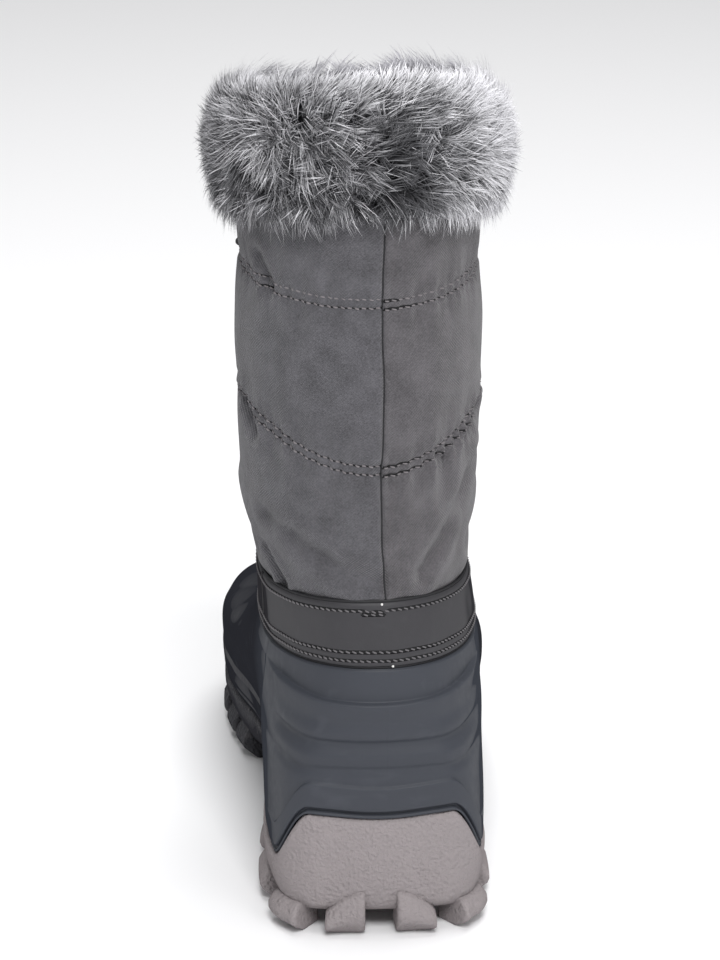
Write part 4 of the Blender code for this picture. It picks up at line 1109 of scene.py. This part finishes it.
print("ankle band")
band = {
    "stations": 300, "rows": 26, "crown": 0.0007, "flow": 0.00025, "piping": 0.0007, "samples": 700,
    "pitch": 0.0025, "length": 0.0019, "radius": 0.00038, "slant": 0.0007,
    "hole": 0.00055, "groove": 0.00078, "grooveDepth": 0.00014,
}
bandTurns = np.linspace(-boot["bandEnd"], boot["bandEnd"], band["stations"])


# The band's outer face: a shallow crown with slow waves round it, rolled in at top and bottom
def bandOut(turn, share):
    crown = band["crown"] * np.sin(math.pi * np.clip(share, 0, 1)) ** 0.5
    rolled = 0.0010 * fallingStep(share, 0.0, 0.035) + 0.0010 * smoothStep(share, 0.965, 1.0)
    pinched = sum(0.00025 * bell(share - at, 0.012) for at in (0.115, 0.235, 0.86))
    flow = band["flow"] * np.sin(turn * 95) * np.sin(math.pi * share)
    return boot["gap"] + boot["bandWall"] - 0.0004 + crown - rolled - pinched + flow


# Heights at shares of the way from the shell's edge to the band's top
def bandHeights(turns, shares):
    low = topLine(turns) + 3 * boot["gap"]
    return low + (bandTop(turns) - low) * shares


bandShares = np.linspace(0, 1, band["rows"])
bandGrid, bandShareGrid = np.meshgrid(bandTurns, bandShares, indexing="ij")
bandLevels = bandHeights(bandGrid, bandShareGrid)
bandOuter = legPoint(bandGrid, bandLevels, bandOut(bandGrid, bandShareGrid))
innerShares = np.linspace(0, 1, 4)
bandInGrid, bandInShare = np.meshgrid(bandTurns, innerShares, indexing="ij")
bandInner = legPoint(bandInGrid, bandHeights(bandInGrid, bandInShare), np.full(bandInGrid.shape, boot["gap"]))
wallPiece("ankleBand", bandOuter, bandInner, bandLeather, False, stands=("ankle_band",))


# A path over the band at a share of its height
def onBand(turns, share, lift=0.0):
    shares = np.broadcast_to(share, turns.shape)
    heights = bandHeights(turns, shares)
    return legPoint(turns, heights, bandOut(turns, shares) + lift), legNormal(turns, heights)


longTurns = np.linspace(-boot["bandEnd"], boot["bandEnd"], 520)
topPath, topNormals = onBand(longTurns, 1.0)
lowPath, lowNormals = onBand(longTurns, 0.0)
tubePiece(
    "bandPiping",
    [
        tubePoints(topPath + topNormals * 0.0001, topNormals, band["piping"], sides=8),
        # The lower tube is a black binding, partly painted shadow of the gap under the band
        tubePoints(lowPath + lowNormals * 0.0001, lowNormals, 0.00045, sides=8),
    ],
    blackTrim,
)
sewnRows = []
# share of the band's height, first and last turn
bandRows = ((0.870, -0.330, 0.335), (0.245, -0.330, 0.335), (0.110, -0.330, 0.335), (0.815, -0.014, 0.012))
for share, first, last in bandRows:
    turns = np.linspace(first, last, band["samples"])
    sewnRows.append(onBand(turns, share - 0.02 * bell(turns - 0.004, 0.01) * (share > 0.84), 0.0001))
path, normals = onBand(np.full(60, -0.214), np.linspace(0.02, 0.99, 60), 0.0001)
tubePiece("bandSeam", [tubePoints(path, normals, 0.0010, 0.0004, sides=6)], blackTrim)
sewRows("band", sewnRows, band, darkThread)
small, smallFaces = roundedBlock(5, 2.0)
markSets = []
for turn, share in ((0.010, 0.965), (0.016, 0.025)):
    markSets.append(onBand(np.array((turn,)), share, 0.0002)[0] + small * 0.00048)
markFaces = np.concatenate((smallFaces, smallFaces + len(small)))
newPiece("bandMarks", np.concatenate(markSets), [markFaces], whiteMark)

print("facings and tongue")
facing = {
    "stations": 26, "rows": 80, "edge": 0.0004, "rest": 0.0016, "samples": 300,
    "pitch": 0.0036, "length": 0.0022, "radius": 0.00026, "slant": 0.0002,
}


# The cloth under a facing: puff sin(pi s)^0.7, s rising to a half above the band, or the rest
def facingRest(turns, heights):
    share = np.clip((heights - bandTop(turns)) / 0.05, 0, 0.5)
    return np.maximum(boot["puff"] * np.sin(math.pi * share) ** 0.7, facing["rest"])


# A facing lies on the quilting over one front edge of the shaft, with rolled edges
def facingGrid(sign, lift):
    turns = sign * np.linspace(boot["facingEnd"], boot["throatEdge"] + 0.0015, facing["stations"])
    low = topLine(turns) + boot["lipHeight"] + boot["gap"]
    rows = seamRows(low, shaftTop(turns) - 0.016, facing["rows"], last=True)
    grid = np.broadcast_to(turns[:, None], rows.shape)
    share = np.linspace(0, 1, len(turns))[:, None]
    rolled = facing["edge"] * (bell(share, 0.06) + bell(share - 1, 0.06))
    return legPoint(grid, rows, facingRest(grid, rows) + lift - rolled * (lift > 0.001))


for name, sign, stands in (("facingOuter", 1, "facing_outer"), ("facingInner", -1, "facing_inner")):
    outerFace = facingGrid(sign, boot["gap"] + boot["facingWall"] + 0.0004)
    innerFace = facingGrid(sign, boot["gap"] + 0.0004)
    wallPiece(name, outerFace, innerFace, blackTrim, False, stands=(stands,))
threadRows = []
for sign in (-1, 1):
    for turn in (boot["facingEnd"] + 0.006, boot["throatEdge"] - 0.006):
        heights = np.linspace(bandTop(np.array(turn)) + 0.004, shaftTop(turn) - 0.020, facing["samples"])
        turns = np.full(facing["samples"], sign * turn)
        lift = facingRest(turns, heights) + boot["gap"] + boot["facingWall"] + 0.0005
        path, normals = legPoint(turns, heights, lift), legNormal(turns, heights)
        stitch = [facing[key] for key in ("pitch", "length", "radius", "slant")]
        threadRows.append(stitchTubes(path, normals, *stitch))
stitchPiece("facingStitches", threadRows, greyThread)

tongue = {"stations": 60, "rows": 90, "wall": 0.004, "belowEdge": 0.009, "ridges": 7, "ridge": 0.0008}
tongueTurns = np.linspace(boot["facingEnd"], 1 - boot["facingEnd"], tongue["stations"])
tongueLow = topLine(tongueTurns) - 0.004
tongueHigh = shaftTop(tongueTurns) - tongue["belowEdge"]
tongueRows = seamRows(tongueLow, tongueHigh, tongue["rows"], last=True)
tongueGrid = np.broadcast_to(tongueTurns[:, None], tongueRows.shape)
tongueShare = np.clip((tongueRows - 0.125) / (tongueHigh[:, None] - 0.125), 0, 1)
tongueAcross = np.linspace(-1, 1, tongue["stations"])[:, None]
ridges = np.abs(np.sin(math.pi * tongue["ridges"] * tongueShare)) ** 0.5 * (tongueShare > 0)
ridges = tongue["ridge"] * ridges * fallingStep(np.abs(tongueAcross), 0.72, 0.9)
behind = boot["shaftWall"] + 0.0009
tongueEnd = smoothStep(tongueRows - tongueHigh[:, None], -0.002, 0.0)
rolled = 0.0012 * (bell(np.abs(tongueAcross) - 1, 0.04) + tongueEnd)
tongueOuter = legPoint(tongueGrid, tongueRows, -behind - 0.0008 + ridges - rolled)
tongueInner = legPoint(tongueGrid, tongueRows, -behind - tongue["wall"] + rolled)
tonguePad = wallPiece(
    "tonguePad", tongueOuter, tongueInner, tongueCloth, False, stands=("tongue",)
)

print("lacing")
lacing = {
    "diameter": 0.004, "clearance": 0.0011, "wire": 0.0022, "count": 5, "first": 0.118,
    "last": 0.249, "turn": 0.5 - (23 + 27) / 2 / 64, "loopSteps": 25, "steps": 420,
}
facingTop = boot["puff"] + boot["gap"] + boot["facingWall"]


# Loops stand at even steps between the first and the last
def loopHeight(k):
    return lacing["first"] + (lacing["last"] - lacing["first"]) * k / (lacing["count"] - 1)


# One arch: half a circle of turn and lift over the facing
def loopTube(sign, k):
    angle = np.linspace(0, math.pi, lacing["loopSteps"])
    reach = lacing["diameter"] + 3 * lacing["clearance"]
    half = (reach + lacing["wire"] / 2) / (2.78 * boot["calfWidth"])
    turns = 0.5 + sign * lacing["turn"] + half * np.cos(angle)
    heights = np.full_like(turns, loopHeight(k))
    lift = facingTop + boot["gap"] + lacing["wire"] / 2 + reach * np.sin(angle)
    return tubePoints(legPoint(turns, heights, lift), legNormal(turns, heights), 0.0009, 0.0021, sides=10)


for k in range(lacing["count"]):
    for sideName, sign in (("outer", -1), ("inner", 1)):
        ending = f"{sideName}_{k + 1}"
        stands = ("lace_loop_" + ending,)
        tubePiece("laceLoop_" + ending, [loopTube(sign, k)], laceBraid, stands=stands)


# The lace's route as (turn, height, lift) rows: through each loop, then over the tongue, where
# its lift falls from the loops' to its own radius
def laceRoute(firstSign, lift, bar):
    seat = facingTop + boot["gap"] + lacing["diameter"] / 2 + lift
    over = lacing["diameter"] / 2 + lift
    pitch = loopHeight(1) - loopHeight(0)
    sign, rows = firstSign, []

    def crossing(share, height):
        rise = over + (seat - over) * float(smoothStep(abs(share), 0.22, 0.66))
        return 0.5 + sign * lacing["turn"] * share, height, rise

    if bar:
        low = loopHeight(0) - 0.16 * pitch
        rows += [crossing(share, low) for share in (-0.97, -0.8, -0.4, 0.0, 0.4, 0.8)]
    for k in range(lacing["count"]):
        height = loopHeight(k)
        rows += [(0.5 + sign * lacing["turn"], height + rise * pitch, seat) for rise in (-0.12, 0.12)]
        if k < lacing["count"] - 1:
            middle = height + pitch / 2
            rows += [crossing(share, middle - 0.36 * share * pitch) for share in (0.8, 0.4, 0.0, -0.4, -0.8)]
            sign = -sign
    return np.array(rows)


# A rounder route: the rows' own points joined by smooth curves of their running length
def smoothRoute(rows, steps):
    ground = legPoint(rows[:, 0], rows[:, 1], rows[:, 2])
    way = runLength(ground)
    at = np.linspace(0, way[-1], steps)
    turn, height, lift = (smoothCurve(at, way, rows[:, k]) for k in range(3))
    return legPoint(turn, height, lift), legNormal(turn, height)


laceTubes = []
for firstSign, lift, bar in ((-1, lacing["clearance"], True), (1, 1.7 * lacing["clearance"], False)):
    path, normals = smoothRoute(laceRoute(firstSign, lift, bar), lacing["steps"])
    radius = lacing["diameter"] / 2
    laceTubes.append(tubePoints(path, normals, radius, radius * 0.86, sides=12))
tubePiece("laceCord", laceTubes, laceBraid, stands=("lace",))

print("fur")
fur = {
    "stations": 240, "overlap": 0.010, "height": 0.043, "depth": 0.0125, "innerDepth": 0.009,
    "girth": 0.345, "clumps": 5900, "perClump": 14, "length": 0.0180, "width": 0.00034,
    "lean": 0.62, "whorl": (-0.036, 0.006), "strays": 300,
}
# out, up: the undercoat's section, shares of the fur's depth and height; it lies under the hairs
undercoatTable = np.array((
    (0.24, 0.03), (0.44, 0.07), (0.58, 0.20), (0.64, 0.42), (0.60, 0.62), (0.48, 0.78),
    (0.24, 0.88), (0.00, 0.91), (-0.45, 0.88), (-0.78, 0.78), (-0.90, 0.60), (-0.84, 0.38),
    (-0.60, 0.33),
))
innerDepth = fur["innerDepth"] + boot["shaftWall"]
underOut = undercoatTable[:, 0] * np.where(undercoatTable[:, 0] > 0, fur["depth"], innerDepth)
underUp = undercoatTable[:, 1] * fur["height"]
underWay = runLength(np.stack((underOut, underUp), axis=-1))


# The undercoat at a turn and a length along its section, with slow swells round the leg
def undercoatPoint(turn, way):
    out = smoothCurve(way, underWay, underOut)
    up = smoothCurve(way, underWay, underUp)
    swell = 1 + 0.07 * np.sin(2 * math.pi * 5 * turn + 0.7) + 0.05 * np.sin(2 * math.pi * 11 * turn + 2.1)
    lift = 0.0016 * np.sin(2 * math.pi * 3 * turn + 1.0) + 0.0012 * np.sin(2 * math.pi * 8 * turn)
    out = np.where(out > 0.0034, 0.0034 + (out - 0.0034) * swell, out)
    low = shaftTop(turn) - fur["overlap"]
    return legPoint(turn, low + up + lift * np.clip(up / fur["height"] - 0.35, 0, 1), out)


# Two directions along the undercoat, round and up, and its normal
def undercoatFrame(turn, way):
    high, low = (np.clip(way + step, 0, underWay[-1]) for step in (0.0006, -0.0006))
    around = unit(undercoatPoint(turn + 0.0015, way) - undercoatPoint(turn - 0.0015, way))
    up = unit(undercoatPoint(turn, high) - undercoatPoint(turn, low))
    return around, up, unit(np.cross(around, up))


furTurns = np.arange(fur["stations"]) / fur["stations"]
seatOut, linerOut = boot["puff"] + 0.0011, -boot["shaftWall"] - 0.0011
furEdge = shaftTop(furTurns)
over = furEdge + 0.0011
sectionWay = np.linspace(0, underWay[-1], 40)
furSections = [undercoatPoint(furTurns, np.full_like(furTurns, way)) for way in sectionWay]
furSections += [legPoint(furTurns, z, np.full_like(furTurns, out)) for out, z in (
    (linerOut, over - 0.004), (linerOut, over), (seatOut, over), (seatOut, furEdge - fur["overlap"] + 0.001),
)]
furGrid = np.stack(furSections, axis=1)
furBaseMaterial = leatherMaterial("furUndercoat", (0.05, 0.05, 0.056, 1), (0.22, 0.22, 0.24, 1), {
    "roughness": 0.95, "spread": 0.6, "broad": 300.0, "scuffs": 0.7, "grain": 900.0,
    "bump": 0.9, "depth": 0.0012,
})
furFaces = gridFaces(*furGrid.shape[:2], wrapRows=True, wrapColumns=True)
newPiece("furUndercoat", furGrid, [furFaces], furBaseMaterial, stands=("fur_collar",))


# Turns from -0.5 to 0.5, 0 at the heel
def wrappedTurn(turn):
    return (turn + 0.5) % 1 - 0.5


# Which way the hair is combed at a turn and section length: the angle from straight round to up,
# out from the whorl near it and away from the heel's middle further off
def combAngle(turn, way):
    x = wrappedTurn(turn) * fur["girth"]
    y = smoothCurve(way, underWay, underUp) - 0.45 * fur["height"]
    outside = smoothCurve(way, underWay, underOut)
    dx, dy = x - fur["whorl"][0], y - fur["whorl"][1]
    far = np.hypot(dx, dy) + 1e-6
    near = bell(far, 0.024)
    comb = np.tanh(dx / 0.02)
    rightUp = smoothStep(x, 0.0, 0.05) * (0.22 + 14 * np.clip(y, -0.02, 0.02))
    flowX = dx / far * near + comb * (1 - near)
    flowY = dy / far * near + rightUp + 0.30 * (1 - near) * np.sin(x * 60 + 1.0)
    low = fallingStep(way, 0.004, 0.016)
    flowY = flowY - 1.5 * low
    crest = smoothStep(outside, -0.002, 0.008)
    flowY = flowY * crest + 1.2 * (1 - crest)
    flowX = flowX * (0.35 + 0.65 * crest)
    return np.arctan2(flowY, flowX), x, y, far, crest


# The roots of blades and their first and last directions: flow cos(lean) + normal sin(lean)
def furBlades(turn, way, stand, tangle, strayDown=0.0):
    base = undercoatPoint(turn, way)
    around, up, normal = undercoatFrame(turn, way)
    angle, x, y, far, crest = combAngle(turn, way)
    angle = angle + tangle * (1 + 2.5 * bell(far, 0.011))
    flow = np.cos(angle)[:, None] * around + np.sin(angle)[:, None] * up
    lean = (fur["lean"] * (0.8 + 0.4 * stand) + 0.25 * bell(far, 0.011))[:, None]
    start = flow * np.cos(lean) + normal * np.sin(lean)
    end = flow * np.cos(lean * 0.25) + normal * np.sin(lean * 0.25)
    end[:, 2] -= 0.16 + strayDown
    return base, start, unit(end), normal, x, y, far, crest


rng = np.random.default_rng(7)
total = fur["clumps"]
clumpWay = rng.uniform(0.0, 1.0, total) * (underWay[-1] * 0.88)
clumpTurn = rng.uniform(0.0, 1.0, total)
clumpX = wrappedTurn(clumpTurn) * fur["girth"]
messy = 0.22 + 1.0 * bell(clumpX + 0.010, 0.042) * fallingStep(clumpWay, 0.014, 0.036)
messy = messy + 0.25 * bell(clumpX + 0.036, 0.02)
clumpTangle = rng.normal(0, 1, total) * (messy + 0.10)
clumpStand = rng.uniform(0, 1, total)
clumpLength = rng.uniform(0.78, 1.12, total)
clumpPale = rng.normal(0, 0.16, total)
member = np.repeat(np.arange(total), fur["perClump"])
count = len(member)
spread = rng.normal(0, 0.0011, (count, 2))
hairTurn = clumpTurn[member] + spread[:, 0] / fur["girth"]
hairWay = np.clip(clumpWay[member] + spread[:, 1], 0.0, underWay[-1])
tangle = clumpTangle[member] + rng.normal(0, 0.13, count)
stand = np.clip(clumpStand[member] + rng.normal(0, 0.25, count), -0.4, 1.5)
base, start, end, normal, x, y, far, crest = furBlades(hairTurn, hairWay, stand, tangle)
length = fur["length"] * clumpLength[member] * rng.uniform(0.72, 1.1, count)
length = length * (0.62 + 0.38 * crest)
# Hairs of a clump lean together: each tip gives up part of its root's offset
hairAround, hairUp = undercoatFrame(hairTurn, hairWay)[:2]
shift = spread[:, 0:1] * hairAround + spread[:, 1:2] * hairUp
length = length * (1 + 0.30 * (1 - crest) * smoothStep(np.abs(wrappedTurn(hairTurn)), 0.2, 0.4))
pale = 0.13 + 0.66 * smoothStep(x, 0.006, 0.050) + 0.42 * smoothStep(y, 0.002, 0.020)
pale = pale + 0.10 * smoothStep(-x, 0.05, 0.08)
pale = pale + 0.45 * (1 - crest) - 0.40 * bell(x - 0.007, 0.008) * fallingStep(y, 0.000, 0.012)
pale = pale + 0.35 * bell(far, 0.007)
pale = np.clip(pale + 1.5 * clumpPale[member] + rng.normal(0, 0.26, count), 0.0, 1.0)


# Blades along base + length (start (s - s^2 / 2) + end s^2 / 2), three pairs of points and a tip
def bladeMesh(name, base, start, end, normal, length, width, shift, pale):
    s = np.array((0.0, 0.36, 0.70, 1.0))[None, :, None]
    arch = start[:, None] * s * (1 - 0.5 * s) + end[:, None] * 0.5 * s * s
    line = base[:, None] + length[:, None, None] * arch - 0.75 * shift[:, None] * s
    tangent = np.gradient(line, axis=1)
    side = np.cross(tangent, normal[:, None])
    side /= np.linalg.norm(side, axis=-1, keepdims=True) + 1e-12
    half = width[:, None, None] * np.array((0.9, 1.0, 0.72))[None, :, None] / 2
    left, right = line[:, :3] - side[:, :3] * half, line[:, :3] + side[:, :3] * half
    points = np.concatenate((np.stack((left, right), axis=2).reshape(len(base), 6, 3), line[:, 3:]), axis=1)
    along = np.array((0.0, 0.0, 0.36, 0.36, 0.70, 0.70, 1.0))
    uv = np.stack(np.broadcast_arrays(along[None], pale[:, None]), axis=-1)
    starts = (np.arange(len(base)) * 7)[:, None, None]
    quads = (np.array(((0, 1, 3, 2), (2, 3, 5, 4)))[None] + starts).reshape(-1, 4)
    tips = (np.array(((4, 5, 6),))[None] + starts).reshape(-1, 3)
    return newPiece(name, points, [quads, tips], furHair, uv=uv, closed=False)


widths = fur["width"] * rng.uniform(0.7, 1.3, count)
order = np.argsort((hairTurn + 0.5) % 1)
hairs = (base, start, end, normal, length, widths, shift, pale)
for k, part in enumerate(np.array_split(order, 3)):
    bladeMesh(f"furHairs_{k + 1}", *(rows[part] for rows in hairs))

# Loose hairs round the lower edge hang over the cloth
loose = fur["strays"]
looseTurn = rng.uniform(0, 1, loose)
looseWay = rng.uniform(0.0, 0.010, loose)
stand = rng.uniform(-0.6, 0.4, loose)
aim = rng.normal(-0.6, 0.55, loose) * np.where(rng.uniform(size=loose) < 0.5, 1, 0.5)
base, start, end, normal = furBlades(looseTurn, looseWay, stand, aim * 0.6, strayDown=0.5)[:4]
length, pale = rng.uniform(0.010, 0.022, loose), rng.uniform(0.45, 0.95, loose)
bladeMesh("furStrays", base, start, end, normal, length, np.full(loose, 0.00022), np.zeros((loose, 3)), pale)

print("floor, light and camera")
stage = {
    "distance": 1.5, "height": 0.695, "azimuth": -4.0, "pitch": 19.25, "focalPixels": 4190.0,
    "heelPixel": 375.0, "middlePixel": 360.0, "imageHeight": 960.0, "sensor": 36.0,
    "floorColour": (0.93, 0.93, 0.94, 1),
}
floorMesh = bpy.data.meshes.new("floor")
floorMesh.from_pydata([(-6, -6, 0), (6, -6, 0), (6, 6, 0), (-6, 6, 0)], [], [(0, 1, 2, 3)])
floorPiece = addObject("floor", floorMesh)
floorPaint, _, floorShader = newMaterial("floorPaint", 0.9)
floorShader.inputs["Base Color"].default_value = stage["floorColour"]
floorMesh.materials.append(floorPaint)

world = bpy.data.worlds.new("studio")
world.use_nodes = True
sky = world.node_tree.nodes["Background"].inputs
sky["Color"].default_value = (1.0, 1.0, 1.0, 1)
sky["Strength"].default_value = 0.34
bpy.context.scene.world = world
bpy.context.scene.view_settings.view_transform = "Standard"


# A soft square light aimed at the boot's middle
def softLight(name, place, size, power):
    lamp = bpy.data.lights.new(name, "AREA")
    lamp.size = size
    lamp.energy = power
    holder = addObject(name, lamp)
    holder.location = place
    aim = np.array((0.0, 0.03, 0.16)) - np.array(place)
    flat = math.hypot(aim[0], aim[1])
    holder.rotation_euler = (math.atan2(flat, -aim[2]), 0, math.atan2(aim[1], aim[0]) - math.pi / 2)


softLight("keyLight", (0.05, -1.5, 1.8), 0.7, 32.0)
softLight("fillLight", (0.9, -1.4, 0.9), 0.8, 6.0)
softLight("topLight", (0.1, 0.3, 2.1), 1.4, 30.0)

camera = bpy.data.cameras.new("camera")
camera.sensor_width = stage["sensor"]
camera.lens = stage["focalPixels"] * stage["sensor"] / stage["imageHeight"]
cameraHolder = addObject("camera", camera)
azimuth = math.radians(stage["azimuth"])
cameraHolder.location = (
    stage["distance"] * math.sin(azimuth), -stage["distance"] * math.cos(azimuth), stage["height"],
)
swing = math.atan((stage["heelPixel"] - stage["middlePixel"]) / stage["focalPixels"])
cameraHolder.rotation_euler = (math.radians(90 - stage["pitch"]), 0, azimuth + swing)
bpy.context.scene.camera = cameraHolder
